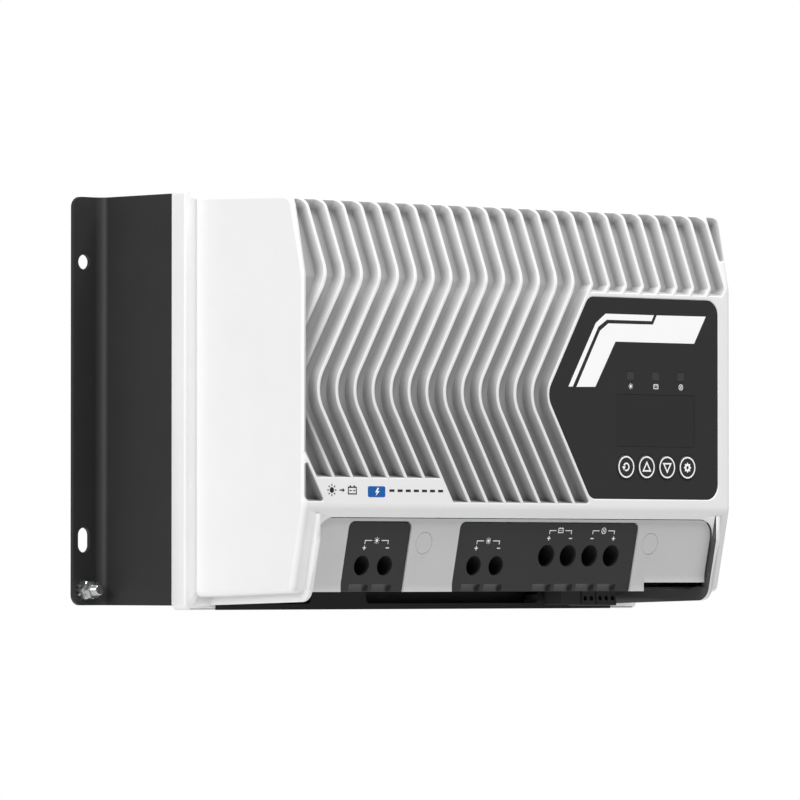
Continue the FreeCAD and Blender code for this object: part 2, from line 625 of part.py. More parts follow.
def clamp_screw(x, z, hole_r):
    head_r = hole_r - 0.8
    shank = rod(x, z, SCREW_R, SEAT_Y - 0.2, TONGUE_Y[0] - 0.5)
    head = rod(x, z, head_r, SEAT_Y - 4.8, SEAT_Y - 0.2)
    slot = box((x - head_r, x + head_r), (SEAT_Y - 5.0, SEAT_Y - 2.8), (z - 0.7, z + 0.7))
    return shank.fuse(head).cut(slot).cut(hexagon(x, z, 5.0, SEAT_Y - 5.0, SEAT_Y - 2.2))


def bus_bars():
    """Copper straps: a tongue down into each clamp and a foot back to the board."""
    bars = []
    for x, z, _ in POLES.values():
        tongue = box((x - TONGUE_X, x + TONGUE_X), TONGUE_Y, (z - CAGE_HALF_Z, -62.0))
        foot = box((x - TONGUE_X, x + TONGUE_X), (TONGUE_Y[0], BOARD_FRONT), (-62.0, -59.0))
        bars.append(tongue.fuse(foot).removeSplitter())
    return group(bars)


COVER_INSET = 1.0           # the terminal cover sits this far behind the cover's lower lean
CAP_RECESS = 1.7
CAP_R = 6.15
POST_FRONT = -157.9
COVER_SCREW_SEAT = -160.5


def terminal_cover():
    """Leaning cover over the terminals, with a window for each block and a straight lower edge."""
    top, low = MOUTH_TOP_Z - 0.4, COVER_BOTTOM_Z
    bend = low + 4.7
    inset, skin = COVER_INSET, 2.4

    def sheet(x_range, low_z):
        knee = low_z + (bend - low)
        front = [(face_y(top, inset), top), (face_y(knee, inset), knee), (face_y(knee, inset), low_z)]
        back = [(y + skin, z) for y, z in reversed(front)]
        return prism(front + back, 0, "x", *x_range)

    half = MOUTH_X - 0.5
    cover = sheet((-half, STEP_X), low).fuse(sheet((STEP_X, half), STEP_Z))
    outline = [(-half, low - 1), (half, low - 1), (half, top), (-half, top)]
    cover = cover.common(prism(outline, [0, 0, MOUTH_CORNER - 0.5, MOUTH_CORNER - 0.5], "y", -180, -150))
    for x0, x1 in (PV2_BLOCK, MAIN_BLOCK):
        window = [(x0 - 0.4, low - 2), (x1 + 0.4, low - 2), (x1 + 0.4, HOUSING_TOP_Z + 0.4),
                  (x0 - 0.4, HOUSING_TOP_Z + 0.4)]
        cover = cover.cut(prism(window, [0, 0, 3.9, 3.9], "y", -180, -150))
    recess = lower_layer(-3.0, CAP_RECESS)
    for x in PLUG_X:
        cover = cover.fuse(rod(x, PLUG_Z, 7.8, face_y(PLUG_Z, inset) + 1.6, POST_FRONT - 0.1))
        cover = cover.cut(rod(x, PLUG_Z, CAP_R + 0.15, -175, -155).common(recess))
        cover = cover.cut(rod(x, PLUG_Z, 2.1, -170, -150)).cut(rod(x, PLUG_Z, 4.2, -170, COVER_SCREW_SEAT))
    return cover.removeSplitter()


def lower_layer(front, back):
    """Layer parallel to the cover's lower lean, between two depths behind its surface."""
    high, low = -65.0, -110.0
    points = [(face_y(high, front), high), (face_y(low, front), low),
              (face_y(low, back), low), (face_y(high, back), high)]
    return prism(points, 0, "x", -MOUTH_X, MOUTH_X)


def terminal_cover_plugs():
    """Thin caps over the fixing screws, flush with the leaning face."""
    layer = lower_layer(COVER_INSET + 0.02, CAP_RECESS)
    return group(rod(x, PLUG_Z, CAP_R, -175, -155).common(layer) for x in PLUG_X)


def terminal_cover_posts():
    return group(hexagon(x, PLUG_Z, 8.0, POST_FRONT, BOARD_FRONT).cut(
        rod(x, PLUG_Z, 1.75, POST_FRONT - 1, POST_FRONT + 9.9)) for x in PLUG_X)


def pan_head_screws():
    """Screws of both boards and of the terminal cover."""
    control = [screw(x, z, 1.24, 2.5, 1.8, CONTROL_BOARD_FRONT + 1.6, 7.5, -1) for x, z in CONTROL_POSTS]
    power = [screw(x, z, 1.74, 3.2, 2.2, BOARD_FRONT, 8.0) for x, z in STANDOFFS]
    cover = [screw(x, PLUG_Z, 1.74, 3.2, 1.9, COVER_SCREW_SEAT, 9.0) for x in PLUG_X]
    return group(control + power + cover)


def bottom_plate():
    """Sheet that closes the underside round the terminal blocks and sockets."""
    plate = box((-154.0, 154.0), (-150.0, -80.0), (-108.6, -107.1))
    for x0, x1 in (PV2_BLOCK, MAIN_BLOCK):
        plate = plate.cut(box((x0 - 0.5, x1 + 0.5), (-151.0, HOUSING_BACK + 0.5), (-110, -100)))
    plate = plate.cut(box((96.6, 147.0), (-100.0, -83.0), (-110, -100)))
    for x in PLUG_X:
        plate = plate.cut(box((x - 10, x + 10), (-151, -149), (-110, -100)))
    return plate


# ---- signal sockets -----------------------------------------------------------------
SIGNAL_PITCH = 5.08
SOCKETS = {"signal_plug_2way": (114.3, 2), "signal_plug_3way": (126.4, 3)}
PLUG_DEPTH = (-98.0, -86.4)
PLUG_FACE_Z = -118.3
HEADER_Z = -103.0


def socket_width(ways):
    return ways * SIGNAL_PITCH + 1.6


def signal_headers():
    """Fixed halves: open-bottomed shrouds with pins."""
    shapes = []
    for x0, ways in SOCKETS.values():
        x1 = x0 + socket_width(ways)
        shroud = box((x0, x1), (PLUG_DEPTH[0], BOARD_FRONT), (HEADER_Z, HEADER_Z + 12.0))
        room = box((x0 + 1.0, x1 - 1.0), (PLUG_DEPTH[0] + 1.0, BOARD_FRONT - 1.4),
                   (HEADER_Z - 1, HEADER_Z + 9.0))
        pins = [box((x0 + 0.8 + SIGNAL_PITCH * (k + 0.5) - 0.5, x0 + 0.8 + SIGNAL_PITCH * (k + 0.5) + 0.5),
                    (-92.5, -91.5), (HEADER_Z + 1.0, HEADER_Z + 9.5)) for k in range(ways)]
        shapes.append(fuse([shroud.cut(room)] + pins))
    return group(shapes)


def signal_plug(x0, ways):
    """Pull-off half: wire entries below, pin slots above, screw wells in front."""
    x1 = x0 + socket_width(ways)
    head = box((x0 + 0.2, x1 - 0.2), PLUG_DEPTH, (PLUG_FACE_Z, HEADER_Z - 0.2))
    head = head.makeFillet(0.6, [e for e in head.Edges if abs(e.BoundBox.ZMax - PLUG_FACE_Z) < 1e-6])
    tail = box((x0 + 1.3, x1 - 1.3), (PLUG_DEPTH[0] + 1.3, -86.0), (HEADER_Z - 0.2, HEADER_Z + 7.0))
    shape = head.fuse(tail)
    for k in range(ways):
        x = x0 + 0.8 + SIGNAL_PITCH * (k + 0.5)
        shape = shape.cut(box((x - 0.9, x + 0.9), (-93.0, -91.0), (HEADER_Z - 6.0, HEADER_Z + 8.0)))
        shape = shape.cut(upright(x, -90.5, 1.7, PLUG_FACE_Z - 1, PLUG_FACE_Z + 7.0))
        shape = shape.cut(rod(x, PLUG_FACE_Z + 4.5, 1.5, PLUG_DEPTH[0] - 1, PLUG_DEPTH[0] + 4.0))
    return shape


def com_port():
    """Modular jack with its opening below."""
    body = box((97.4, 113.2), (-98.5, BOARD_FRONT), (-117.6, -102.0))
    room = box((99.4, 111.2), (-96.8, -89.6), (-118.0, -106.0))
    notch = box((102.3, 108.3), (-90.0, -87.0), (-118.0, -110.0))
    return body.cut(room).cut(notch)


# ---- earth terminal -----------------------------------------------------------------
GROUND_Z = -108.8
STUD_R = 3.0
NUT_SEAT = -4.1


def ground_stud():
    """Pressed-in stud with a chamfered end."""
    x = -HOLE_X
    stud = rod(x, GROUND_Z, STUD_R - 0.02, -16.5, -0.2)
    return stud.makeFillet(1.0, [e for e in stud.Edges if abs(e.BoundBox.YMax + 16.5) < 1e-6])


def ground_washer():
    """Toothed lock washer."""
    x = -HOLE_X
    ring = rod(x, GROUND_Z, 4.6, -3.6, -2.7)
    for k in range(12):
        a = math.radians(30 * k)
        ring = ring.fuse(rod(x + 4.9 * math.cos(a), GROUND_Z + 4.9 * math.sin(a), 0.85, -3.9, -2.6))
    return ring.cut(rod(x, GROUND_Z, STUD_R + 0.3, -5, 0))


def ground_nut():
    """Stepped hexagon nut."""
    x = -HOLE_X
    wide = hexagon(x, GROUND_Z, 10.0, NUT_SEAT - 4.2, NUT_SEAT)
    cone = Part.makeCone(5.1, 10.0, 5.0, Vector(x, NUT_SEAT - 4.2, GROUND_Z), Vector(0, 1, 0))
    narrow = hexagon(x, GROUND_Z, 8.8, NUT_SEAT - 8.0, NUT_SEAT - 4.2)
    return wide.common(cone).fuse(narrow).cut(rod(x, GROUND_Z, STUD_R + 0.05, -20, 0))


# ---- the parts ----------------------------------------------------------------------
save("mounting_bracket_left", mounting_bracket(-1))
save("mounting_bracket_right", mounting_bracket(1))
save("top_channel", channel(1))
save("bottom_channel", channel(-1))
save("rear_panel", rear_panel())
save("rear_panel_screws", rear_panel_screws())
save("front_cover", front_cover())
save("cover_gasket", gasket(0.05))
save("cover_screws", cover_screws())
save("display_panel", display_panel())
save("lcd_lens", lcd_lens())
save("lcd_module", lcd_module())
save("control_board", control_board())
save("tact_switches", tact_switches())
save("status_leds", status_leds())
save("light_pipes", light_pipes())
for name, button_x in zip(BUTTON_NAMES, BUTTON_X):
    save(name, button(button_x))
save("heat_sink", heat_sink())
save("power_transistors", power_transistors())
save("transistor_clamps", transistor_clamps())
save("power_board", power_board())
save("board_standoffs", board_standoffs())
save("choke_cores", group(choke_core(x, z) for x, z in CHOKES))
save("choke_windings", group(choke_winding(x, z) for x, z in CHOKES))
save("capacitors", capacitors())
save("blade_fuses", blade_fuses())
save("bus_bars", bus_bars())
save("terminal_block_pv2", housing(PV2_BLOCK, [p for n, p in POLES.items() if n.startswith("pv2")]))
save("terminal_block_main", housing(MAIN_BLOCK, [p for n, p in POLES.items() if not n.startswith("pv2")]))
for name, (pole_x, pole_z, well_r) in POLES.items():
    save("clamp_cage_" + name, cage(pole_x, pole_z))
    save("clamp_screw_" + name, clamp_screw(pole_x, pole_z, well_r))
save("terminal_cover", terminal_cover())
save("terminal_cover_plugs", terminal_cover_plugs())
save("terminal_cover_posts", terminal_cover_posts())
save("pan_head_screws", pan_head_screws())
save("bottom_plate", bottom_plate())
save("com_port", com_port())
save("signal_headers", signal_headers())
for name, (socket_x, ways) in SOCKETS.items():
    save(name, signal_plug(socket_x, ways))
save("ground_stud", ground_stud())
save("ground_washer", ground_washer())
save("ground_nut", ground_nut())
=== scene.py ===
"""Looks of a wall-mounted solar charge controller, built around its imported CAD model.

Blender works in metres. Sizes below are in millimetres and pass through MM.
+X is right as seen from the front, +Y points into the wall and +Z is up.
"""
import json
import math

import bmesh
import bpy
import numpy as np
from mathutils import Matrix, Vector, geometry


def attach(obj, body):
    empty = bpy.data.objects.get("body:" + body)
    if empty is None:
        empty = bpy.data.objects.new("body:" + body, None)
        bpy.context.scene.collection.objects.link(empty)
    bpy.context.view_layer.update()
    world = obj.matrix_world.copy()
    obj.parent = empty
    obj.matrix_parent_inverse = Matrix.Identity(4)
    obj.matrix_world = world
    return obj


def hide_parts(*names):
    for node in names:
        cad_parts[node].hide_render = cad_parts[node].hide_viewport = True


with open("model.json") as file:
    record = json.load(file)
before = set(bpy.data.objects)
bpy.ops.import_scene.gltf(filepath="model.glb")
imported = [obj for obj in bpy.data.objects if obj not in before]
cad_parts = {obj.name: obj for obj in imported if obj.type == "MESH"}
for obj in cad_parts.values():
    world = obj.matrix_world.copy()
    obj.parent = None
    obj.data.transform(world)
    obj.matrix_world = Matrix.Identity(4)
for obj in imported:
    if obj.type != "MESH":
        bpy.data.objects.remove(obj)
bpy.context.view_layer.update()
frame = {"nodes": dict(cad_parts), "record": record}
nodes = frame["nodes"]
body_of_node = {n: b for b, members in frame["record"]["behaviour"]["bodies"].items() for n in members}
slot_of_node = {p["node"]: p["material_slot"] for p in frame["record"]["subparts"]}
scene = bpy.context.scene
MM = 0.001

# ---- cover, driving dimensions --------------------------------------------------------
DEPTH = 170.1               # wall plane to the front face
TOP_CREASE_Z = 68.5
LOW_CREASE_Z = -61.5
TOP_LEAN = math.radians(12.3)
LOW_LEAN = math.radians(12.5)
CREASE_R = 16.0
TOP_EDGE_R = 9.0
TOP_Z = 114.2               # corner between the upper lean and the top wall
LOW_TANGENT_Z = -59.75      # the flat front ends here and the lower crease begins
SIDE_ARC_X = 164.6          # the round edge to the side walls begins here
SIDE_ARC_R = 3.2
PITCH = 13.68
FIRST_RIB_X = -150.2
RIBS = 24
RIB_CREST = 2.1             # across the rib
GROOVE = 6.0
DRAFT = 1.5                 # how far a groove wall leans over its depth
RIB_TOP_LEAN = math.radians(11.0)
RIB_LEAN = math.radians(30.0)
RIB_LOW_Z = 4.1
GROOVE_TOP_Z = 111.5
MARGIN_X = 166.2
LABEL_TOP_Z = -45.0
GROOVE_BOTTOM_Z = -58.6
PANEL_GROOVE_Z = 64.3
LABEL_GROOVES = 7
LONG_GROOVES = 15
PANEL_POCKET = 1.5
PANEL_FRONT = DEPTH - 0.3   # front of the black panel
BLOCK_INSET = 1.7           # terminal blocks' face behind the lower lean
FLANGE_Y = -79.3            # front face of the flange


# ---- plane geometry -------------------------------------------------------------------
def rounded(points, radii, steps=6, closed=True):
    """Points of a path with each corner replaced by an arc; radius 0 keeps the corner."""
    count = len(points)
    path = []
    for i, p in enumerate(points):
        r = radii[i]
        if r <= 0 or (not closed and i in (0, count - 1)):
            path.append(tuple(p))
            continue
        p = np.array(p, float)
        a = np.array(points[i - 1], float) - p
        b = np.array(points[(i + 1) % count], float) - p
        la, lb = np.linalg.norm(a), np.linalg.norm(b)
        ua, ub = a / la, b / lb
        half = 0.5 * math.acos(max(-1.0, min(1.0, float(ua @ ub))))
        run = min(r / math.tan(half), 0.49 * la, 0.49 * lb)
        r = run * math.tan(half)
        bisector = (ua + ub) / np.linalg.norm(ua + ub)
        centre = p + bisector * (r / math.sin(half))
        start, end = p + ua * run - centre, p + ub * run - centre
        turn = math.atan2(start[0] * end[1] - start[1] * end[0], float(start @ end))
        for k in range(steps + 1):
            c, s = math.cos(turn * k / steps), math.sin(turn * k / steps)
            path.append((centre[0] + c * start[0] - s * start[1], centre[1] + s * start[0] + c * start[1]))
    return path


def area(loop):
    return 0.5 * sum(a[0] * b[1] - b[0] * a[1] for a, b in zip(loop, loop[1:] + loop[:1]))


def offset(points, distances):
    """Sharp polygon moved outward, each edge by its own distance (edge i starts at point i)."""
    sign = 1.0 if area(list(points)) > 0 else -1.0
    count = len(points)
    lines = []
    for i in range(count):
        (x0, y0), (x1, y1) = points[i], points[(i + 1) % count]
        length = math.hypot(x1 - x0, y1 - y0)
        nx, ny = sign * (y1 - y0) / length, -sign * (x1 - x0) / length
        lines.append((x0 + nx * distances[i], y0 + ny * distances[i], (x1 - x0) / length, (y1 - y0) / length))
    moved = []
    for i in range(count):
        ax, ay, adx, ady = lines[i - 1]
        bx, by, bdx, bdy = lines[i]
        cross = adx * bdy - ady * bdx
        if abs(cross) < 1e-6:
            moved.append((bx, by))
            continue
        t = ((bx - ax) * bdy - (by - ay) * bdx) / cross
        moved.append((ax + t * adx, ay + t * ady))
    return moved


def inside(points, loop):
    """Which of the points lie in a closed loop."""
    x, y = points[:, 0], points[:, 1]
    result = np.zeros(len(points), bool)
    ax, ay = loop[-1]
    for bx, by in loop:
        crosses = (ay > y) != (by > y)
        if by != ay:
            result ^= crosses & (x < (bx - ax) * (y - ay) / (by - ay) + ax)
        ax, ay = bx, by
    return result


def triangulate(outer, holes=(), extra=()):
    """Triangles of a region with holes. Returns the points and index triples."""
    points, edges = [], []
    for loop in [outer, *holes]:
        start = len(points)
        points += [tuple(p) for p in loop]
        edges += [(start + i, start + (i + 1) % len(loop)) for i in range(len(loop))]
    points += [tuple(p) for p in extra]
    made = geometry.delaunay_2d_cdt([Vector(p) for p in points], edges, [], 0, 1e-7)
    places, origin = np.array([tuple(v) for v in made[0]]), made[3]
    triangles = np.array([tuple(t) for t in made[2]])
    centres = places[triangles].mean(axis=1)
    keep = inside(centres, outer)
    for hole in holes:
        keep &= ~inside(centres, hole)
    return places, triangles[keep], origin


# ---- the front surface of the cover ---------------------------------------------------
def lean_y(z, inset=0.0):
    """Y of the front surface at a height, in mm, without the round creases."""
    y = -DEPTH + inset
    if z > TOP_CREASE_Z:
        return y + (z - TOP_CREASE_Z) * math.tan(TOP_LEAN) + inset * (1 / math.cos(TOP_LEAN) - 1)
    if z < LOW_CREASE_Z:
        return y + (LOW_CREASE_Z - z) * math.tan(LOW_LEAN) + inset * (1 / math.cos(LOW_LEAN) - 1)
    return y


BACK_TOP = (-78.3, 116.4)    # Y and Z where the top wall meets the flange
PROFILE = np.array(rounded([(-DEPTH, LOW_CREASE_Z), (-DEPTH, TOP_CREASE_Z), (lean_y(TOP_Z), TOP_Z), BACK_TOP],
                           [0, CREASE_R, TOP_EDGE_R, 0], 16, closed=False))
PROFILE_STEPS = np.linalg.norm(np.diff(PROFILE, axis=0), axis=1)
PROFILE_RUN = np.concatenate([[0], np.cumsum(PROFILE_STEPS)]) + LOW_CREASE_Z


def run_of(y, z):
    """Distance along the profile, nearest to a point of the side view, and the depth below it."""
    a, b = PROFILE[:-1], PROFILE[1:]
    d = b - a
    length = np.linalg.norm(d, axis=1)
    u = d / length[:, None]
    p = np.array([y, z])
    t = np.clip(((p - a) * u).sum(1), 0, length)
    foot = a + u * t[:, None]
    gap = np.linalg.norm(p - foot, axis=1)
    i = int(gap.argmin())
    side = (p - foot[i]) @ np.array([u[i][1], -u[i][0]])
    return PROFILE_RUN[i] + t[i], math.copysign(gap[i], side)


def run_at(z):
    return float(np.interp(z, PROFILE[:, 1], PROFILE_RUN))


def edge_drop(x):
    """How far the round side edge lies behind the flat front."""
    over = min(max(abs(x) - SIDE_ARC_X, 0.0), SIDE_ARC_R)
    return SIDE_ARC_R - math.sqrt(SIDE_ARC_R ** 2 - over ** 2)


def on_cover(x, run, depth):
    """Place in metres of a point at a depth below the front surface."""
    y = np.interp(run, PROFILE_RUN, PROFILE[:, 0])
    z = np.interp(run, PROFILE_RUN, PROFILE[:, 1])
    ahead = min(run + 0.4, PROFILE_RUN[-1])
    behind = max(run - 0.4, PROFILE_RUN[0])
    ty = np.interp(ahead, PROFILE_RUN, PROFILE[:, 0]) - np.interp(behind, PROFILE_RUN, PROFILE[:, 0])
    tz = np.interp(ahead, PROFILE_RUN, PROFILE[:, 1]) - np.interp(behind, PROFILE_RUN, PROFILE[:, 1])
    length = math.hypot(ty, tz)
    return Vector((x, y + depth * tz / length, z - depth * ty / length)) * MM


def rib_x(index, z):
    """Centre of a rib at a height."""
    x = FIRST_RIB_X + index * PITCH
    if z >= TOP_CREASE_Z:
        return x - (z - TOP_CREASE_Z) * math.tan(RIB_TOP_LEAN)
    if z >= RIB_LOW_Z:
        return x - (TOP_CREASE_Z - z) * math.tan(RIB_LEAN)
    return x - (TOP_CREASE_Z - 2 * RIB_LOW_Z + z) * math.tan(RIB_LEAN)


# ---- small mesh helpers ---------------------------------------------------------------
def new_object(name, vertices, faces):
    mesh = bpy.data.meshes.new(name)
    mesh.from_pydata([tuple(v) for v in vertices], [], [tuple(f) for f in faces])
    mesh.update()
    obj = bpy.data.objects.new(name, mesh)
    scene.collection.objects.link(obj)
    return obj


def object_of(bm, name):
    """New object that takes over a bmesh."""
    mesh = bpy.data.meshes.new(name)
    bm.to_mesh(mesh)
    bm.free()
    obj = bpy.data.objects.new(name, mesh)
    scene.collection.objects.link(obj)
    return obj


def smooth_by_angle(mesh, degrees=32.0):
    mesh.polygons.foreach_set("use_smooth", [True] * len(mesh.polygons))
    mesh.set_sharp_from_angle(angle=math.radians(degrees))


def bake_modifiers(obj):
    """Turns the evaluated object into its plain mesh."""
    evaluated = obj.evaluated_get(bpy.context.evaluated_depsgraph_get())
    mesh = bpy.data.meshes.new_from_object(evaluated)
    obj.modifiers.clear()
    obj.data = mesh
    mesh.name = obj.name
    return obj


def paint(obj, material):
    obj.data.materials.clear()
    obj.data.materials.append(material)


def finish_piece(obj, body, material, replaced=()):
    paint(obj, material)
    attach(obj, body)
    if replaced:
        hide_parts(*replaced)
    return obj


def even_normals(obj):
    """Keeps large flat faces evenly shaded beside narrow round edges."""
    weighted = obj.modifiers.new("even", "WEIGHTED_NORMAL")
    weighted.keep_sharp = True
    weighted.weight = 100


def outward(obj):
    """Turns all faces outwards."""
    bm = bmesh.new()
    bm.from_mesh(obj.data)
    bmesh.ops.recalc_face_normals(bm, faces=bm.faces)
    bm.to_mesh(obj.data)
    bm.free()


def merged_copy(node):
    """Copy of a CAD node's mesh with shared corners."""
    bm = bmesh.new()
    bm.from_mesh(nodes[node].data)
    bmesh.ops.remove_doubles(bm, verts=bm.verts, dist=2e-6)
    return bm


def whole_faces(bm, degrees=0.4):
    bmesh.ops.dissolve_limit(bm, angle_limit=math.radians(degrees), verts=bm.verts, edges=bm.edges,
                             delimit={"NORMAL"})


def broken_edges(node, name, material, width=0.3, segments=2, degrees=35.0):
    """The CAD shape with its sharp edges broken, as a moulding or a pressing has them."""
    bm = merged_copy(node)
    whole_faces(bm)
    obj = object_of(bm, name)
    bevel = obj.modifiers.new("edges", "BEVEL")
    bevel.width = width * MM
    bevel.segments = segments
    bevel.limit_method = "ANGLE"
    bevel.angle_limit = math.radians(degrees)
    bevel.use_clamp_overlap = True
    bake_modifiers(obj)
    smooth_by_angle(obj.data)
    even_normals(obj)
    bake_modifiers(obj)
    return finish_piece(obj, body_of_node[node], material, [node])


# ---- materials ------------------------------------------------------------------------
def link(tree, source, output, target, socket):
    tree.links.new(source.outputs[output], target.inputs[socket])


def finish_material(name, colour, roughness, metallic=0.0, mottle=0.06, grain=900.0, bump=0.04,
                    rough_spread=0.06, stretch=(1, 1, 1), coat=0.0, patch=35.0, with_painted_shade=False):
    """Painted, moulded or metal finish: slow colour drift, fine grain in the bump and in the gloss.

    It can also mix towards near black by the mesh's own per-corner attribute, which holds painted shade.
    """
    material = bpy.data.materials.new(name)
    material.use_nodes = True
    tree = material.node_tree
    tree.nodes.clear()
    out = tree.nodes.new("ShaderNodeOutputMaterial")
    shader = tree.nodes.new("ShaderNodeBsdfPrincipled")
    link(tree, shader, "BSDF", out, "Surface")
    shader.inputs["Metallic"].default_value = metallic
    shader.inputs["Coat Weight"].default_value = coat
    place = tree.nodes.new("ShaderNodeTexCoord")
    mapping = tree.nodes.new("ShaderNodeMapping")
    mapping.inputs["Scale"].default_value = stretch
    link(tree, place, "Object", mapping, "Vector")

    drift = tree.nodes.new("ShaderNodeTexNoise")
    drift.inputs["Scale"].default_value = patch
    drift.inputs["Detail"].default_value = 4.0
    link(tree, mapping, "Vector", drift, "Vector")
    ramp = tree.nodes.new("ShaderNodeValToRGB")
    ramp.color_ramp.elements[0].position = 0.3
    ramp.color_ramp.elements[1].position = 0.7
    ramp.color_ramp.elements[0].color = [c * (1 - mottle) for c in colour] + [1]
    ramp.color_ramp.elements[1].color = [min(1.0, c * (1 + mottle)) for c in colour] + [1]
    link(tree, drift, "Fac", ramp, "Fac")
    if with_painted_shade:
        # painted shade: the mesh's attribute mixes the colour towards near black
        painted_shade = tree.nodes.new("ShaderNodeAttribute")
        painted_shade.attribute_name = "painted_shade"
        darken = tree.nodes.new("ShaderNodeMixRGB")
        darken.inputs["Color2"].default_value = (0.012, 0.012, 0.012, 1)
        link(tree, painted_shade, "Fac", darken, "Fac")
        link(tree, ramp, "Color", darken, "Color1")
        link(tree, darken, "Color", shader, "Base Color")
    else:
        link(tree, ramp, "Color", shader, "Base Color")

    fine = tree.nodes.new("ShaderNodeTexNoise")
    fine.inputs["Scale"].default_value = grain
    fine.inputs["Detail"].default_value = 3.0
    link(tree, mapping, "Vector", fine, "Vector")
    gloss = tree.nodes.new("ShaderNodeMapRange")
    gloss.inputs["To Min"].default_value = roughness - rough_spread
    gloss.inputs["To Max"].default_value = roughness + rough_spread
    link(tree, fine, "Fac", gloss, "Value")
    link(tree, gloss, "Result", shader, "Roughness")
    relief = tree.nodes.new("ShaderNodeBump")
    relief.inputs["Strength"].default_value = bump
    relief.inputs["Distance"].default_value = 0.0002
    link(tree, fine, "Fac", relief, "Height")
    link(tree, relief, "Normal", shader, "Normal")
    return material


def grey(value):
    """Linear grey from a 0 to 255 screen value."""
    v = value / 255
    v = v / 12.92 if v <= 0.04045 else ((v + 0.055) / 1.055) ** 2.4
    return (v, v, v)


MATERIALS = {
    # the white paint also carries painted shade in the grooves, the cable bay and the flange windows
    "cover_white": finish_material("satin_white_paint", grey(236), 0.42, mottle=0.012, grain=1400, bump=0.05,
                                   with_painted_shade=True),
    "chassis_black": finish_material("black_powder_coat", grey(36), 0.55, mottle=0.10, grain=1800, bump=0.16),
    "terminal_grey": finish_material("light_grey_moulding", grey(205), 0.60, mottle=0.02, grain=2600,
                                     bump=0.14),
    "block_black": finish_material("black_glass_filled_nylon", grey(38), 0.52, mottle=0.08, grain=2200,
                                   bump=0.12),
    "panel_black": finish_material("back_printed_overlay", grey(39), 0.38, mottle=0.03, grain=3000,
                                   bump=0.03),
    "lens_tint": finish_material("tinted_window", grey(35), 0.16, mottle=0.03, grain=400, bump=0.0, coat=0.4),
    "button_black": finish_material("black_key_cap", grey(38), 0.45, mottle=0.05, grain=2600, bump=0.06),
    "zinc_steel": finish_material("bright_zinc_plate", (0.62, 0.63, 0.64), 0.30, 1.0, 0.08, 700, 0.08, 0.10),
    "nickel_brass": finish_material("nickel_on_brass", (0.62, 0.57, 0.45), 0.32, 1.0, 0.06, 900, 0.06, 0.08),
    "copper": finish_material("tinned_copper", (0.70, 0.44, 0.33), 0.35, 1.0, 0.10, 500, 0.05, 0.10),
    "raw_aluminium": finish_material("drawn_aluminium", (0.66, 0.67, 0.68), 0.38, 1.0, 0.05, 500, 0.10, 0.10,
                                     stretch=(1, 1, 0.03)),
    "circuit_board": finish_material("green_solder_mask", (0.012, 0.11, 0.045), 0.35, mottle=0.35, grain=900,
                                     bump=0.10, patch=220.0, coat=0.3),
    "component_black": finish_material("moulded_epoxy", grey(40), 0.65, mottle=0.12, grain=3000, bump=0.15),
    "ferrite": finish_material("sintered_core", grey(88), 0.55, mottle=0.12, grain=1500, bump=0.15),
    "enamelled_copper": finish_material("enamelled_wire", (0.42, 0.13, 0.04), 0.28, 0.7, 0.12, 300, 0.3,
                                        stretch=(1, 8, 1), coat=0.5),
    "capacitor_sleeve": finish_material("shrink_sleeve", (0.012, 0.013, 0.03), 0.30, mottle=0.08, coat=0.4),
    "fuse_body": finish_material("amber_fuse_case", (0.65, 0.28, 0.02), 0.25, mottle=0.05, coat=0.3),
    "foam_rubber": finish_material("closed_cell_foam", grey(36), 0.85, mottle=0.15, grain=2400, bump=0.5),
    "clear_plastic": finish_material("smoked_light_guide", grey(58), 0.22, mottle=0.03, grain=600, bump=0.01),
}
PRINT_WHITE = finish_material("white_print", grey(254), 0.50, mottle=0.01, grain=3000, bump=0.03)
PRINT_BLACK = finish_material("black_print", grey(26), 0.50, mottle=0.04, grain=3000, bump=0.03)
PRINT_BLUE = finish_material("blue_print", (0.0, 0.107, 0.397), 0.50, mottle=0.03, grain=3000, bump=0.03)
# near-black sheet that stands for the shadow on the flange below the cable bay
SHADOW_BLACK = finish_material("painted_shadow_black", grey(20), 0.65, mottle=0.08, grain=1800, bump=0.10)
# dark metal for the clamp screws, as painted shade down the driver holes
HOLE_SHADE_STEEL = finish_material("painted_hole_shade_steel", grey(30), 0.50, 1.0, 0.10, 900, 0.06, 0.08)


# ---- cover ----------------------------------------------------------------------------
WALL_ANGLE = math.atan(GROOVE / DRAFT)          # groove wall from the face
LIP_R = 0.9
LIP = LIP_R * math.tan(WALL_ANGLE / 2)          # width of the round lip on the face
FOOT_R = 0.45
TOP_FOOT_R = 2.6                                # the grooves run out in a scoop at the top
HALF_SLANT = RIB_CREST / 2 / math.cos(RIB_LEAN)
RIB_TUCK = 0.05                                 # keeps a rib's wall just inside the wall it runs into
PAINTED_GROOVE_SHADE = (0.72, 0.50)                     # painted shade at a groove floor, low and high on the cover
PAINTED_GROOVE_SHADE_Z = (-60.0, 100.0)                 # heights of those two
PAINTED_DEEP_SHADE, PAINTED_BAY_LIP_SHADE = 0.94, 0.80          # painted shade on the inner walls of the cable bay and on its front lip
BAY_WALL_X, BAY_LIP_X = 150.0, 160.0            # the right-hand walls begin here, and their lip
BAY_TOP_Z = LOW_CREASE_Z - 5.0
WINDOW_X, WINDOW_Y, WINDOW_Z = 130.0, -79.2, (-119.5, -103.5)   # region of the flange windows
SAME_PLACE, GAP_CLOSING = 1e-6, 1e-4            # merging distances in metres
CREASE_ROWS = [TOP_CREASE_Z + 0.9 * k for k in range(-2, 3)]
TOP_ROWS = [GROOVE_TOP_Z - 1.6 * k for k in range(1, 6)]


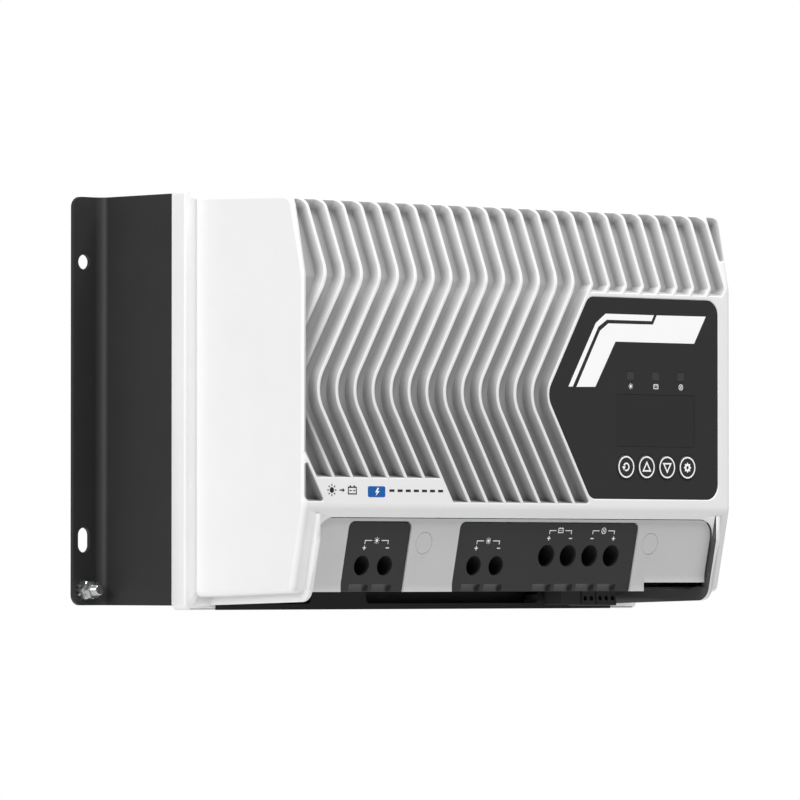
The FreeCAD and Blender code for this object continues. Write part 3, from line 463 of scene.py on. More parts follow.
def recess_outline():
    """Sharp outline of the ribbed recess in X and Z, with corner radii."""
    slope = math.tan(RIB_LEAN)
    left = HALF_SLANT + RIB_TUCK
    reach = rib_x(0, RIB_LOW_Z) + left
    corners = [((-MARGIN_X, GROOVE_TOP_Z), 2.0)]
    corners += [((-MARGIN_X, z), 0) for z in TOP_ROWS + list(reversed(CREASE_ROWS))]
    corners += [
        ((-MARGIN_X, RIB_LOW_Z - (-MARGIN_X - reach) / slope), 2.0),
        ((rib_x(0, LABEL_TOP_Z) + left, LABEL_TOP_Z), 1.2),
        ((rib_x(LABEL_GROOVES, LABEL_TOP_Z) + left, LABEL_TOP_Z), 0.6),
        ((rib_x(LABEL_GROOVES, GROOVE_BOTTOM_Z) + left, GROOVE_BOTTOM_Z), 1.2),
        ((rib_x(LONG_GROOVES, GROOVE_BOTTOM_Z) - left, GROOVE_BOTTOM_Z), 1.2),
        ((rib_x(LONG_GROOVES, RIB_LOW_Z) - left, RIB_LOW_Z), 17.5),
        ((rib_x(LONG_GROOVES, PANEL_GROOVE_Z) - left, PANEL_GROOVE_Z), 0.6),
        ((rib_x(RIBS - 1, PANEL_GROOVE_Z) - left, PANEL_GROOVE_Z), 1.2),
        ((rib_x(RIBS - 1, TOP_CREASE_Z) - left, TOP_CREASE_Z), 12.0),
        ((rib_x(RIBS - 1, GROOVE_TOP_Z) - left, GROOVE_TOP_Z), 8.0),
    ]
    return corners


def lower_corner_pocket():
    """Small three-sided pocket below the first rib, at the left margin."""
    left = HALF_SLANT + RIB_TUCK
    tip_z = RIB_LOW_Z - (-MARGIN_X - rib_x(0, RIB_LOW_Z) + left) / math.tan(RIB_LEAN)
    return [((-MARGIN_X, tip_z), 0.9), ((rib_x(0, GROOVE_BOTTOM_Z) - left, GROOVE_BOTTOM_Z), 1.2),
            ((-MARGIN_X, GROOVE_BOTTOM_Z), 3.2)]


def upper_corner_pocket():
    """Small wedge beside the last rib, at the right margin."""
    tip_z = 85.0
    side = RIB_CREST / 2 + RIB_TUCK
    return ([((rib_x(RIBS - 1, GROOVE_TOP_Z) + side, GROOVE_TOP_Z), 1.6), ((MARGIN_X, GROOVE_TOP_Z), 5.5)]
            + [((MARGIN_X, z), 0) for z in TOP_ROWS[3:]]
            + [((MARGIN_X, tip_z), 1.5), ((rib_x(RIBS - 1, tip_z) + side, tip_z), 1.5)])


POCKETS = [recess_outline(), lower_corner_pocket(), upper_corner_pocket()]


def ring(corners, out, foot_out=None):
    """One rounded ring round a sharp outline, in X and run, moved outward by a distance."""
    points = [p for p, _ in corners]
    sign = 1.0 if area(points) > 0 else -1.0
    distances, radii = [], []
    for i, (p, r) in enumerate(corners):
        q = points[(i + 1) % len(points)]
        at_top = p[1] > GROOVE_TOP_Z - 0.01 and q[1] > GROOVE_TOP_Z - 0.01
        distances.append(foot_out if at_top and foot_out is not None else out)
        a = points[i - 1]
        turn = (p[0] - a[0]) * (q[1] - p[1]) - (p[1] - a[1]) * (q[0] - p[0])
        convex = turn * sign > 0
        radii.append(0 if r == 0 else max(r + out if convex else r - out, 0.12))
    return [(x, run_at(z)) for x, z in rounded(offset(points, distances), radii, 8)]


def pocket(mesh, corners):
    """Lip, leaning wall, foot and floor of a pocket. Returns its lip ring as points in X and run, and as
    vertices.
    """
    rings = []
    for k in range(5):
        a = WALL_ANGLE * k / 4
        flat = ring(corners, LIP - LIP_R * math.sin(a))
        rings.append((flat, [LIP_R * (1 - math.cos(a))] * len(flat)))
    for k in range(4, -1, -1):
        a = WALL_ANGLE * k / 4
        outs = [-DRAFT - f * (math.tan(WALL_ANGLE / 2) - math.sin(a)) for f in (FOOT_R, TOP_FOOT_R)]
        flat = ring(corners, *outs)
        depths = []
        for _, run in flat:
            share = min(max((run - run_at(GROOVE_TOP_Z - 9)) / 7.0, 0.0), 1.0)
            f = FOOT_R + (TOP_FOOT_R - FOOT_R) * share * share * (3 - 2 * share)
            depths.append(GROOVE - f * (1 - math.cos(a)))
        rings.append((flat, depths))
    rows = []
    for flat, depths in rings:
        places = [on_cover(x, run, max(d, edge_drop(x))) for (x, run), d in zip(flat, depths)]
        rows.append([mesh.verts.new(place) for place in places])
    for upper, lower in zip(rows, rows[1:]):
        for i in range(len(upper)):
            j = (i + 1) % len(upper)
            mesh.faces.new((upper[i], upper[j], lower[j], lower[i]))
    floor = rings[-1][0]
    rows_z = CREASE_ROWS + TOP_ROWS + [GROOVE_TOP_Z - 3.0 - 12.0 * k for k in range(1, 14)]
    grid = np.array([(x, run_at(z)) for z in rows_z for x in np.arange(-162.0, 163.0, 6.0)])
    grid = grid[inside(grid, ring(corners, -DRAFT - FOOT_R - 1.2, -DRAFT - TOP_FOOT_R - 1.0))]
    fill(mesh, floor, rows[-1], (), (), grid, GROOVE)
    return rings[0][0], rows[0]


def fill(mesh, outer, outer_verts, holes, hole_verts, extra, depth):
    """Flat-triangle surface between rings that exist already."""
    places, triangles, origin = triangulate(outer, holes, extra)
    known = list(outer_verts) + [v for verts in hole_verts for v in verts]
    made = []
    for place, came_from in zip(places, origin):
        index = came_from[0] if came_from else len(known)
        if index < len(known):
            made.append(known[index])
        else:
            x, run = place
            made.append(mesh.verts.new(on_cover(x, run, max(depth, edge_drop(x)))))
    for a, b, c in triangles:
        if len({made[a], made[b], made[c]}) == 3:
            mesh.faces.new((made[a], made[b], made[c]))


def boundary_loops(mesh):
    """Closed chains of edges that have one face only."""
    follow = {}
    for edge in mesh.edges:
        if len(edge.link_faces) == 1:
            loop = edge.link_loops[0]
            follow[loop.vert] = edge.other_vert(loop.vert)
    loops = []
    while follow:
        start, v = follow.popitem()
        chain = [start]
        while v is not start:
            chain.append(v)
            v = follow.pop(v)
        loops.append(chain)
    return loops


def width_of(loop):
    return max(v.co.x for v in loop) - min(v.co.x for v in loop)


def build_cover():
    """The casting: its sides, rim and inside as in CAD, with a new drafted and rounded front."""
    mesh = merged_copy("front_cover")
    low_run = LOW_TANGENT_Z - 0.02
    deepest = GROOVE + 0.12
    state = {}
    for v in mesh.verts:
        x, y, z = (c / MM for c in v.co)
        run, depth = run_of(y, z)
        flat = -0.05 < depth < deepest and low_run < run < PROFILE_RUN[-2] + 0.05
        state[v] = flat and abs(x) < SIDE_ARC_X + SIDE_ARC_R + 0.2
    doomed = [f for f in mesh.faces if all(state[v] for v in f.verts)
              and not is_pocket_floor(f)]
    bmesh.ops.delete(mesh, geom=doomed, context="FACES")
    outer, panel = sorted(boundary_loops(mesh), key=width_of, reverse=True)[:2]
    outer_places = [(v.co.x / MM, run_of(v.co.y / MM, v.co.z / MM)[0]) for v in outer]

    rims, rim_verts = [], []
    for corners in POCKETS:
        flat, verts = pocket(mesh, corners)
        rims.append(flat)
        rim_verts.append(verts)
    flat, verts = panel_rim(mesh, panel)
    rims.append(flat)
    rim_verts.append(verts)

    arcs = [SIDE_ARC_X + SIDE_ARC_R * math.sin(math.radians(a)) for a in (0, 15, 30, 45, 60, 75)]
    rows = list(np.arange(LOW_TANGENT_Z + 2.0, 105.0, 3.0)) + CREASE_ROWS
    band = [PROFILE_RUN[-2] - 0.9 * k for k in range(1, 16)]
    runs = [run_at(z) for z in rows] + band
    extra = [(s * x, run) for s in (-1, 1) for x in arcs for run in runs]
    extra += [(x, run) for x in np.arange(-160.0, 161.0, 5.0) for run in band]
    extra = np.array(extra)
    keep = np.ones(len(extra), bool)
    for corners in POCKETS:
        keep &= ~inside(extra, ring(corners, LIP + 0.35))
    keep &= ~inside(extra, rims[-1])
    fill(mesh, outer_places, outer, rims, rim_verts, extra[keep], 0.0)
    bmesh.ops.remove_doubles(mesh, verts=mesh.verts, dist=SAME_PLACE)
    loose = [v for v in mesh.verts if not v.link_faces]
    bmesh.ops.delete(mesh, geom=loose, context="VERTS")
    gaps = {v for e in mesh.edges if len(e.link_faces) == 1 for v in e.verts}
    bmesh.ops.remove_doubles(mesh, verts=list(gaps), dist=GAP_CLOSING)
    bmesh.ops.recalc_face_normals(mesh, faces=mesh.faces)
    obj = object_of(mesh, "cover_casting")
    smooth_by_angle(obj.data, 30)
    even_normals(obj)
    bake_modifiers(obj)
    # painted shade in the pockets, on the cable bay's inner walls and on the flange window walls
    add_painted_shade(obj.data, [ring(corners, LIP) for corners in POCKETS], True)
    return finish_piece(obj, "root", MATERIALS["cover_white"], ["front_cover"])


def add_painted_shade(mesh, rings=(), bay=False):
    """Stores painted shade: how dark each face corner is drawn where shade falls in the grooves and hollows.

    Grooves lie inside the rings, or everywhere if there are none. With bay, the cable bay's right-hand inner
    walls and the walls of the flange windows get painted shade too.
    """
    places = np.array([tuple(v.co) for v in mesh.vertices]) / MM
    runs = np.array([run_of(y, z) for _, y, z in places])
    values = np.array([painted_groove_shade(z, depth) for z, depth in zip(places[:, 2], runs[:, 1])])
    if rings:
        flat = np.column_stack([places[:, 0], runs[:, 0]])
        within = np.any([inside(flat, outline) for outline in rings], axis=0)
        values *= within & (runs[:, 1] < GROOVE + 0.15) & (places[:, 2] > BAY_TOP_Z)
    painted_shade = mesh.attributes.new("painted_shade", "FLOAT", "CORNER")
    for polygon in mesh.polygons:
        x, y, z = polygon.center / MM
        window = bay and abs(x) < WINDOW_X and y > WINDOW_Y and WINDOW_Z[0] < z < WINDOW_Z[1]
        wall = bay and polygon.normal.x < -0.5 and z < BAY_TOP_Z
        for k in polygon.loop_indices:
            vertex = mesh.loops[k].vertex_index
            corner_x = places[vertex, 0]
            least = PAINTED_DEEP_SHADE if window else 0.0
            if wall and corner_x > BAY_WALL_X:
                least = PAINTED_DEEP_SHADE if window or corner_x < BAY_LIP_X else PAINTED_BAY_LIP_SHADE
            painted_shade.data[k].value = max(float(values[vertex]), least)


def painted_groove_shade(z, depth):
    """Painted shade in the grooves: darker than the face, the more so lower down, where the dark also begins
    sooner.
    """
    floor = float(np.interp(z, PAINTED_GROOVE_SHADE_Z, PAINTED_GROOVE_SHADE))
    reach = float(np.interp(z, (0.0, 100.0), (0.55, 1.45)))
    return floor * min(max(depth / reach, 0.0), 1.0)


def is_pocket_floor(face):
    """The floor that the display panel lies on stays as it is."""
    ys = [v.co.y / MM + DEPTH for v in face.verts]
    return max(ys) < PANEL_POCKET + 0.05 and min(ys) > PANEL_POCKET - 0.05


def panel_rim(mesh, loop):
    """Round rim of the display pocket, from its floor loop up to the face."""
    points = [(v.co.x / MM, v.co.z / MM) for v in loop]
    sign = 1.0 if area(points) > 0 else -1.0
    count, rim_r = len(points), 0.7
    normals = []
    for i in range(count):
        (ax, az), (bx, bz) = points[i - 1], points[(i + 1) % count]
        length = math.hypot(bx - ax, bz - az)
        normals.append((sign * (bz - az) / length, -sign * (bx - ax) / length))
    rows = [loop]
    for k in range(6):
        a = math.radians(90 - 18 * k)
        out, depth = rim_r * (1 - math.sin(a)), rim_r * (1 - math.cos(a))
        rows.append([mesh.verts.new(on_cover(x + nx * out, z + nz * out, depth))
                     for (x, z), (nx, nz) in zip(points, normals)])
    for lower, upper in zip(rows, rows[1:]):
        for i in range(count):
            j = (i + 1) % count
            mesh.faces.new((lower[i], lower[j], upper[j], upper[i]))
    return [(v.co.x / MM, v.co.z / MM) for v in rows[-1]], rows[-1]


# ---- cooling ribs, by Geometry Nodes --------------------------------------------------
def node_tree(name, inputs):
    """Empty Geometry Nodes tree with named inputs. Returns tree, input node and output node."""
    tree = bpy.data.node_groups.new(name, "GeometryNodeTree")
    tree.interface.new_socket("Geometry", in_out="INPUT", socket_type="NodeSocketGeometry")
    for label, kind in inputs:
        tree.interface.new_socket(label, in_out="INPUT", socket_type="NodeSocket" + kind)
    tree.interface.new_socket("Geometry", in_out="OUTPUT", socket_type="NodeSocketGeometry")
    return tree, tree.nodes.new("NodeGroupInput"), tree.nodes.new("NodeGroupOutput")


def grow(obj, tree, values):
    """Runs a tree on an object with values for its named inputs and keeps the plain mesh."""
    modifier = obj.modifiers.new(tree.name, "NODES")
    modifier.node_group = tree
    for item in tree.interface.items_tree:
        if item.item_type == "SOCKET" and item.in_out == "INPUT" and item.name in values:
            modifier[item.identifier] = values[item.name]
    return bake_modifiers(obj)


def maths(tree, operation, a, b):
    """Math node; each operand is a number or a (node, output) pair."""
    node = tree.nodes.new("ShaderNodeMath")
    node.operation = operation
    for i, operand in enumerate((a, b)):
        if isinstance(operand, tuple):
            link(tree, operand[0], operand[1], node, i)
        else:
            node.inputs[i].default_value = operand
    return (node, 0)


def sweep_and_coat(tree, start, end, path, profile):
    """Ends a tree: a capped sweep along the path, made real and given the tree's material."""
    sweep = tree.nodes.new("GeometryNodeCurveToMesh")
    sweep.inputs["Fill Caps"].default_value = True
    link(tree, path, "Curve", sweep, "Curve")
    link(tree, *profile, sweep, "Profile Curve")
    whole = tree.nodes.new("GeometryNodeRealizeInstances")
    link(tree, sweep, "Mesh", whole, "Geometry")
    coat = tree.nodes.new("GeometryNodeSetMaterial")
    link(tree, whole, "Geometry", coat, "Geometry")
    link(tree, start, "Material", coat, "Material")
    link(tree, coat, "Geometry", end, "Geometry")


def rib_tree():
    """Sweeps a drafted rib with a round crest along every path of the mesh."""
    tree, start, end = node_tree("cooling_ribs", [
        ("Rib Height", "Float"), ("Crest Width", "Float"), ("Wall Draft", "Float"), ("Crest Radius", "Float"),
        ("Crest Segments", "Int"), ("Bend Segments", "Int"), ("Material", "Material")])
    path = tree.nodes.new("GeometryNodeMeshToCurve")
    link(tree, start, "Geometry", path, "Mesh")
    corner = tree.nodes.new("GeometryNodeInputNamedAttribute")
    corner.data_type = "FLOAT"
    corner.inputs["Name"].default_value = "corner"
    bend = tree.nodes.new("GeometryNodeFilletCurve")
    bend.mode = "POLY"
    link(tree, path, "Curve", bend, "Curve")
    link(tree, corner, "Attribute", bend, "Radius")
    link(tree, start, "Bend Segments", bend, "Count")
    upright = tree.nodes.new("GeometryNodeSetCurveNormal")
    upright.mode = "Z_UP"
    link(tree, bend, "Curve", upright, "Curve")

    section = tree.nodes.new("GeometryNodeCurvePrimitiveQuadrilateral")
    section.mode = "TRAPEZOID"
    section.inputs["Offset"].default_value = 0.0
    link(tree, start, "Rib Height", section, "Height")
    link(tree, start, "Crest Width", section, "Top Width")
    lean = maths(tree, "MULTIPLY", (start, "Wall Draft"), 2.0)
    foot = maths(tree, "ADD", (start, "Crest Width"), lean)
    tree.links.new(foot[0].outputs[0], section.inputs["Bottom Width"])
    where = tree.nodes.new("GeometryNodeInputPosition")
    parts = tree.nodes.new("ShaderNodeSeparateXYZ")
    link(tree, where, "Position", parts, "Vector")
    is_crest = maths(tree, "GREATER_THAN", (parts, "Y"), 0.0)
    crest_r = maths(tree, "MULTIPLY", is_crest, (start, "Crest Radius"))
    crest = tree.nodes.new("GeometryNodeFilletCurve")
    crest.mode = "POLY"
    link(tree, section, "Curve", crest, "Curve")
    tree.links.new(crest_r[0].outputs[0], crest.inputs["Radius"])
    link(tree, start, "Crest Segments", crest, "Count")
    half = maths(tree, "MULTIPLY", (start, "Rib Height"), -0.5)
    shift = tree.nodes.new("ShaderNodeCombineXYZ")
    tree.links.new(half[0].outputs[0], shift.inputs["Y"])
    lower = tree.nodes.new("GeometryNodeSetPosition")
    link(tree, crest, "Curve", lower, "Geometry")
    link(tree, shift, "Vector", lower, "Offset")

    sweep_and_coat(tree, start, end, upright, (lower, "Geometry"))
    return tree


def rib_paths():
    """Centre lines in X and run: a hook at the top, then down to the strip, margin or panel."""
    bury, hook_r, bend_r = 1.3, 8.0, 21.0
    top_run = run_at(GROOVE_TOP_Z) + RIB_CREST / 2 + 0.15
    paths = []
    for i in range(RIBS - 1):
        top_x = rib_x(i, GROOVE_TOP_Z)
        if i <= LABEL_GROOVES:
            low_z = LABEL_TOP_Z
        else:
            low_z = GROOVE_BOTTOM_Z if i < LONG_GROOVES else PANEL_GROOVE_Z
        path = [(top_x - 9.0, top_run, 0), (top_x, top_run, hook_r),
                (rib_x(i, TOP_CREASE_Z), run_at(TOP_CREASE_Z), bend_r if low_z < 0 else 3.0)]
        if low_z > 0:
            paths.append(path + [(rib_x(i, low_z - bury), run_at(low_z - bury), 0)])
            continue
        bend = (rib_x(i, RIB_LOW_Z), RIB_LOW_Z, bend_r)
        last = (rib_x(i, low_z - bury), low_z - bury, 0)
        if rib_x(i, RIB_LOW_Z) > -MARGIN_X:
            paths.append(path + [bend, last])
            continue
        upper_z = TOP_CREASE_Z - (rib_x(i, TOP_CREASE_Z) + MARGIN_X + bury) / math.tan(RIB_LEAN)
        paths.append(path + [(-MARGIN_X - bury, run_at(upper_z), 0)])
        if i > 0:
            lower_z = 2 * RIB_LOW_Z - upper_z
            paths.append([(-MARGIN_X - bury, lower_z, 0), last])
    return paths


def build_ribs():
    """Bent cooling ribs that stand in the recess, their crests level with the face."""
    points, edges, corners = [], [], []
    for path in rib_paths():
        start = len(points)
        points += [(x, run, 0.0) for x, run, _ in path]
        corners += [r for _, _, r in path]
        edges += [(start + k, start + k + 1) for k in range(len(path) - 1)]
    mesh = bpy.data.meshes.new("cooling_ribs")
    mesh.from_pydata(points, edges, [])
    attribute = mesh.attributes.new("corner", "FLOAT", "POINT")
    attribute.data.foreach_set("value", corners)
    obj = bpy.data.objects.new("cooling_ribs", mesh)
    scene.collection.objects.link(obj)
    grow(obj, rib_tree(), {"Rib Height": GROOVE + 0.3, "Crest Width": RIB_CREST,
                           "Wall Draft": DRAFT * (GROOVE + 0.3) / GROOVE, "Crest Radius": 0.55,
                           "Crest Segments": 4, "Bend Segments": 12, "Material": MATERIALS["cover_white"]})
    heights = [v.co.z for v in obj.data.vertices]
    flip = -1.0 if min(heights) < -1.0 else 1.0
    limit = SIDE_ARC_X + SIDE_ARC_R - 0.5
    for v in obj.data.vertices:
        x = min(max(v.co.x, -limit), limit)
        v.co = on_cover(x, v.co.y, max(flip * v.co.z, edge_drop(x)) + 0.02)
    bm = bmesh.new()
    bm.from_mesh(obj.data)
    bmesh.ops.remove_doubles(bm, verts=bm.verts, dist=1e-7)
    bmesh.ops.recalc_face_normals(bm, faces=bm.faces)
    bm.to_mesh(obj.data)
    bm.free()
    smooth_by_angle(obj.data, 30)
    # painted shade on the rib walls, darker deeper below the face
    add_painted_shade(obj.data)
    return finish_piece(obj, "root", MATERIALS["cover_white"])


build_cover()
build_ribs()

# ---- sheet metal, mouldings and metal parts -------------------------------------------
BEVELS = {                  # node: edge break in mm
    "mounting_bracket_left": 0.3, "mounting_bracket_right": 0.3, "top_channel": 0.3,
    "bottom_channel": 0.3, "rear_panel": 0.3, "terminal_block_main": 0.35, "terminal_block_pv2": 0.35,
    "terminal_cover": 0.4, "terminal_cover_plugs": 0.3, "bottom_plate": 0.2, "com_port": 0.25,
    "display_panel": 0.2, "lcd_lens": 0.08, "signal_plug_2way": 0.2, "signal_plug_3way": 0.2,
    "ground_nut": 0.15, "button_back": 0.2, "button_up": 0.2, "button_down": 0.2, "button_set": 0.2,
}


def thread_tree():
    """Helical ridge of a screw thread, along Z."""
    tree, start, end = node_tree("screw_thread", [
        ("Thread Radius", "Float"), ("Pitch", "Float"), ("Turns", "Float"), ("Ridge Radius", "Float"),
        ("Steps per Turn", "Int"), ("Material", "Material")])
    helix = tree.nodes.new("GeometryNodeCurveSpiral")
    link(tree, start, "Steps per Turn", helix, "Resolution")
    link(tree, start, "Turns", helix, "Rotations")
    link(tree, start, "Thread Radius", helix, "Start Radius")
    link(tree, start, "Thread Radius", helix, "End Radius")
    height = maths(tree, "MULTIPLY", (start, "Pitch"), (start, "Turns"))
    tree.links.new(height[0].outputs[0], helix.inputs["Height"])
    upright = tree.nodes.new("GeometryNodeSetCurveNormal")
    upright.mode = "Z_UP"
    link(tree, helix, "Curve", upright, "Curve")
    section = tree.nodes.new("GeometryNodeCurvePrimitiveCircle")
    section.inputs["Resolution"].default_value = 6
    link(tree, start, "Ridge Radius", section, "Radius")
    sweep_and_coat(tree, start, end, upright, (section, "Curve"))
    return tree


def build_stud_thread():
    """Thread of the earth stud, 1 mm a turn from its tip to the ear."""
    stud_x, stud_z, tip_y, ear_y = -189.0, -108.8, -16.1, -3.0
    obj = new_object("stud_thread", [(0, 0, 0)], [])
    grow(obj, thread_tree(), {"Thread Radius": 2.93, "Pitch": 1.0, "Turns": ear_y - tip_y,
                              "Ridge Radius": 0.3, "Steps per Turn": 24, "Material": MATERIALS["zinc_steel"]})
    for v in obj.data.vertices:
        v.co = Vector((stud_x + v.co.x, tip_y + v.co.z, stud_z + v.co.y)) * MM
    outward(obj)
    smooth_by_angle(obj.data, 50)
    finish_piece(obj, "root", MATERIALS["zinc_steel"])


# ---- printed marks --------------------------------------------------------------------
def stroke(points, width, closed=False):
    """Outline of a line of constant width along a path, as (outer loop, holes)."""
    places = [np.array(p, float) for p in points]
    left, right = [], []
    for i, p in enumerate(places):
        before = places[i - 1] if closed or i > 0 else 2 * p - places[i + 1]
        after = places[(i + 1) % len(places)] if closed or i < len(places) - 1 else 2 * p - before
        sides = ((before, p), (p, after))
        n = [np.array((a[1] - b[1], b[0] - a[0])) / np.linalg.norm(b - a) for a, b in sides]
        mitre = (n[0] + n[1]) / (1 + float(n[0] @ n[1])) * width / 2
        left.append(tuple(p + mitre))
        right.append(tuple(p - mitre))
    if not closed:
        return left + right[::-1], []
    return (left, [right]) if abs(area(left)) > abs(area(right)) else (right, [left])


def arc(x, z, r, start, end, steps=24):
    return [(x + r * math.cos(math.radians(start + (end - start) * k / steps)),
             z + r * math.sin(math.radians(start + (end - start) * k / steps))) for k in range(steps + 1)]


def disc(x, z, r, holes=()):
    return arc(x, z, r, 0, 360)[:-1], [arc(x, z, h, 0, 360)[:-1] for h in holes]


def bar(x0, x1, z0, z1):
    return [(x0, z0), (x1, z0), (x1, z1), (x0, z1)], []


def sun(x, z, r):
    rays = [stroke([(x + q * r * math.cos(a), z + q * r * math.sin(a)) for q in (0.68, 1.0)], 0.2 * r)
            for a in (math.tau * k / 8 for k in range(8))]
    return [disc(x, z, 0.48 * r)] + rays


def battery(x, z, r):
    """Case, two posts on top and two dashes inside."""
    case = [(x - r, z - 0.62 * r), (x + r, z - 0.62 * r), (x + r, z + 0.62 * r), (x - r, z + 0.62 * r)]
    bars = ((-0.7, -0.3, 0.73, 0.95), (0.3, 0.7, 0.73, 0.95), (-0.7, -0.2, -0.1, 0.1), (0.2, 0.7, -0.1, 0.1))
    return ([stroke(case, 0.22 * r, True)]
            + [bar(x + a * r, x + b * r, z + c * r, z + d * r) for a, b, c, d in bars])


def lamp(x, z, r):
    h = 0.5 * r
    return [disc(x, z, r, [0.8 * r]), stroke([(x - h, z - h), (x + h, z + h)], 0.2 * r),
            stroke([(x - h, z + h), (x - 0.17 * r, z + 0.17 * r)], 0.2 * r),
            stroke([(x + 0.17 * r, z - 0.17 * r), (x + h, z - h)], 0.2 * r)]


def arrow(x, z, r):
    return [([(x - r, z - 0.18 * r), (x + 0.2 * r, z - 0.18 * r), (x + 0.2 * r, z - 0.6 * r), (x + r, z),
              (x + 0.2 * r, z + 0.6 * r), (x + 0.2 * r, z + 0.18 * r), (x - r, z + 0.18 * r)], [])]


def turn_back(x, z, r):
    head = [(x - 1.15 * r, z + 0.12 * r), (x - 0.2 * r, z + 0.12 * r), (x - 0.68 * r, z - 0.68 * r)]
    return [stroke(arc(x, z, 0.72 * r, -120, 158), 0.3 * r), (head, [])]


def triangle(x, z, r, up):
    tips = [(x - r, z - 0.75 * up * r), (x + r, z - 0.75 * up * r), (x, z + 0.95 * up * r)]
    return [stroke(tips, 0.3 * r, True)]


def cog(x, z, r):
    points = []
    for k in range(32):
        q = r if k % 4 in (0, 1) else 0.76 * r
        a = math.tau * (k - 0.5) / 32
        points.append((x + q * math.cos(a), z + q * math.sin(a)))
    return [(points, [arc(x, z, 0.34 * r, 0, 360)[:-1]])]


def sign(x, z, plus, r=1.25):
    w = 0.28
    if not plus:
        return [bar(x - r, x + r, z - w, z + w)]
    low = [(x - r, z - w), (x - w, z - w), (x - w, z - r), (x + w, z - r), (x + w, z - w), (x + r, z - w)]
    high = [(x + r, z + w), (x + w, z + w), (x + w, z + r), (x - w, z + r), (x - w, z + w), (x - r, z + w)]
    return [(low + high, [])]


def on_front(y):
    return lambda x, z, lift: Vector((x, y - lift, z)) * MM


def on_lean(inset):
    return lambda x, z, lift: Vector((x, lean_y(z, inset) - lift, z)) * MM


def mark(name, shapes, surface, body, material, up=0.05, down=0.05):
    """Thin closed layer of ink in the outline of the shapes."""
    bm = bmesh.new()
    for outer, holes in shapes:
        places, triangles, _ = triangulate(list(outer), [list(h) for h in holes])
        top = [bm.verts.new(surface(x, z, up)) for x, z in places]
        low = [bm.verts.new(surface(x, z, -down)) for x, z in places]
        used = {}
        for a, b, c in triangles:
            bm.faces.new((top[a], top[b], top[c]))
            bm.faces.new((low[c], low[b], low[a]))
            for i, j in ((a, b), (b, c), (c, a)):
                used[(i, j)] = used.get((i, j), 0) + 1
        for i, j in used:
            if (j, i) not in used:
                bm.faces.new((top[j], top[i], low[i], low[j]))
    bmesh.ops.delete(bm, geom=[v for v in bm.verts if not v.link_faces], context="VERTS")
    bmesh.ops.recalc_face_normals(bm, faces=bm.faces)
    return finish_piece(object_of(bm, name), body, material)


def build_panel_print():
    """White band, status icons and key rings on the display panel."""
    band = [(42.4, 8.9), (57.5, 9.2), (73.7, 35.8), (137.7, 35.9), (147.3, 52.1), (107.2, 51.9),
            (104.1, 46.4), (68.0, 46.3), (61.3, 41.9)]
    line = [(36.0, 9.0), (39.4, 9.0), (59.9, 44.1), (66.8, 48.4), (102.9, 48.4), (104.9, 51.9),
            (65.8, 51.9), (57.9, 46.3)]
    shapes = [(band, []), (line, [])]
    for icon, x in zip((sun, battery, lamp), (86.0, 106.4, 126.8)):
        shapes += icon(x, 10.0, 1.75)
    mark("panel_print", shapes, on_front(-PANEL_FRONT), "root", PRINT_WHITE)
    icons = [turn_back, lambda x, z, r: triangle(x, z, r, 1), lambda x, z, r: triangle(x, z, r, -1), cog]
    for node, icon in zip(("button_back", "button_up", "button_down", "button_set"), icons):
        corners = np.array([tuple(v.co) for v in nodes[node].data.vertices]) / MM
        cap = corners[corners[:, 1] < corners[:, 1].min() + 0.05]
        x, z = (cap[:, 0].min() + cap[:, 0].max()) / 2, (cap[:, 2].min() + cap[:, 2].max()) / 2
        mark(node + "_print", [disc(x, z, 6.4, [5.55])] + icon(x, z, 2.9), on_front(cap[:, 1].min()),
             node, PRINT_WHITE)


def build_strip_print():
    """Icons, blue badge and row of dashes on the label strip."""
    face = on_front(-DEPTH)
    dashes = [bar(-103.5 + 6.2 * k, -99.7 + 6.2 * k, -53.0, -51.6) for k in range(7)]
    icons = sun(-147.0, -52.3, 3.4) + arrow(-139.3, -52.3, 2.0) + battery(-131.6, -52.5, 3.0)
    mark("strip_print", icons + dashes, face, "root", PRINT_BLACK)
    badge = rounded([(-119.9, -56.1), (-106.7, -56.1), (-106.7, -49.9), (-119.9, -49.9)], [1.1] * 4, 5)
    mark("badge_print", [(badge, [])], face, "root", PRINT_BLUE)
    bolt = [(-114.4, -53.4), (-112.6, -50.8), (-111.4, -50.8), (-112.6, -52.6), (-111.0, -52.6),
            (-114.0, -55.4), (-113.1, -53.4)]
    mark("badge_bolt", [(bolt, [])], face, "root", PRINT_WHITE, 0.09)


# X of the two poles, whether the left one is plus, icon, Z of the signs and of the bracket above them
TERMINAL_PAIRS = (
    ((-116.5, -99.0), True, sun, -84.7, -80.5),
    ((-30.5, -13.1), True, sun, -84.7, -80.5),
    ((25.4, 42.6), True, battery, -78.9, -74.4),
    ((59.8, 77.0), False, lamp, -78.9, -74.4),
)


def build_terminal_print():
    """Signs, brackets and icons above the driver holes."""
    shapes = []
    for xs, first_plus, icon, z, top in TERMINAL_PAIRS:
        middle = sum(xs) / 2
        for x, plus, side in zip(xs, (first_plus, not first_plus), (1, -1)):
            shapes += sign(x, z, plus)
            shapes.append(stroke([(x, top - 2.0), (x, top), (middle - side * 3.6, top)], 0.45))
        shapes += icon(middle, top, 1.9)
    mark("terminal_print", shapes, on_lean(BLOCK_INSET), "root", PRINT_WHITE, 0.06, 0.06)


def build_painted_flange_shadow():
    """Near-black sheet on the flange behind the cables, a painted shadow over its white face, with the two
    windows left open.
    """
    windows = [rounded([(a, -116.7), (b, -116.7), (b, -104.0), (a, -104.0)], [3.0] * 4, 5)
               for a, b in ((-126.0, -83.0), (-41.0, 96.0))]
    outline, _ = bar(-155.3, 155.3, -120.0, -103.2)
    mark("painted_flange_shadow", [(outline, windows)], on_front(FLANGE_Y), "root", SHADOW_BLACK,
         0.55, 0.02)


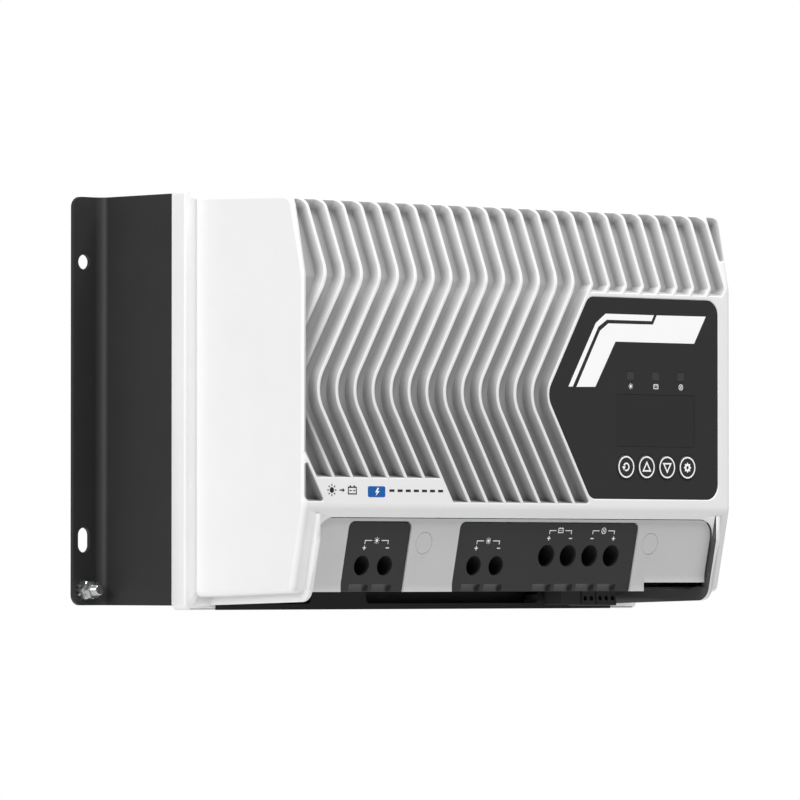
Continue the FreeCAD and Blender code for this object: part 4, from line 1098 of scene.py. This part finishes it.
for node, width in BEVELS.items():
    broken_edges(node, node + "_finished", MATERIALS[slot_of_node[node]], width)
build_stud_thread()
build_panel_print()
build_strip_print()
build_terminal_print()
build_painted_flange_shadow()
for node, obj in nodes.items():
    if not obj.hide_render:
        # the clamp screws get the dark metal: painted shade down the driver holes
        paint(obj, HOLE_SHADE_STEEL if node.startswith("clamp_screw") else MATERIALS[slot_of_node[node]])


# ---- stage, light and camera ----------------------------------------------------------
def build_stage():
    """Round pale floor below the wall unit, in metres."""
    radius, floor_z, corners = 2.4, -0.62, 96
    ring_points = [(radius * math.cos(a), radius * math.sin(a), floor_z)
                   for a in (math.tau * k / corners for k in range(corners))]
    floor = new_object("studio_floor", ring_points, [range(corners)])
    paint(floor, finish_material("pale_floor", grey(232), 0.7, mottle=0.01, grain=60, bump=0.0))


def area_light(name, place, target, size, power):
    """Rectangular white light; places and sizes in metres, power in watts."""
    data = bpy.data.lights.new(name, "AREA")
    data.shape = "RECTANGLE"
    data.size, data.size_y = size
    data.energy = power
    light = bpy.data.objects.new(name, data)
    scene.collection.objects.link(light)
    light.location = place
    light.rotation_mode = "QUATERNION"
    light.rotation_quaternion = (Vector(target) - Vector(place)).to_track_quat("-Z", "Y")


def build_world():
    """Soft even room: white to the eye, dimmer as a light."""
    world = bpy.data.worlds.new("studio")
    scene.world = world
    world.use_nodes = True
    tree = world.node_tree
    tree.nodes.clear()
    out = tree.nodes.new("ShaderNodeOutputWorld")
    seen = tree.nodes.new("ShaderNodeBackground")
    seen.inputs["Color"].default_value = (1, 1, 1, 1)
    seen.inputs["Strength"].default_value = 1.0
    room = tree.nodes.new("ShaderNodeBackground")
    room.inputs["Color"].default_value = (1, 1, 1, 1)
    room.inputs["Strength"].default_value = 0.27
    ray = tree.nodes.new("ShaderNodeLightPath")
    mix = tree.nodes.new("ShaderNodeMixShader")
    link(tree, ray, "Is Camera Ray", mix, 0)
    link(tree, room, "Background", mix, 1)
    link(tree, seen, "Background", mix, 2)
    link(tree, mix, "Shader", out, "Surface")


def build_camera():
    """Long lens from the front left, a little below the middle."""
    azimuth, elevation, distance = math.radians(42.024), math.radians(-1.370), 4.169
    target = Vector((-16.99, -83.0, 1.87)) * MM
    level = math.cos(elevation)
    back = Vector((-math.sin(azimuth) * level, -math.cos(azimuth) * level, math.sin(elevation)))
    data = bpy.data.cameras.new("camera")
    data.sensor_width = 36.0
    data.lens = 321.87
    camera = bpy.data.objects.new("camera", data)
    scene.collection.objects.link(camera)
    camera.location = target + back * distance
    camera.rotation_mode = "QUATERNION"
    camera.rotation_quaternion = (-back).to_track_quat("-Z", "Y")
    scene.camera = camera


build_stage()
build_world()
area_light("top_box", (0.1, -1.0, 2.3), (0, -0.15, 0), (1.8, 0.9), 80)
area_light("left_box", (-2.8, -0.5, 0.9), (0, -0.1, 0), (1.2, 1.6), 44)
scene.view_settings.view_transform = "Standard"
build_camera()
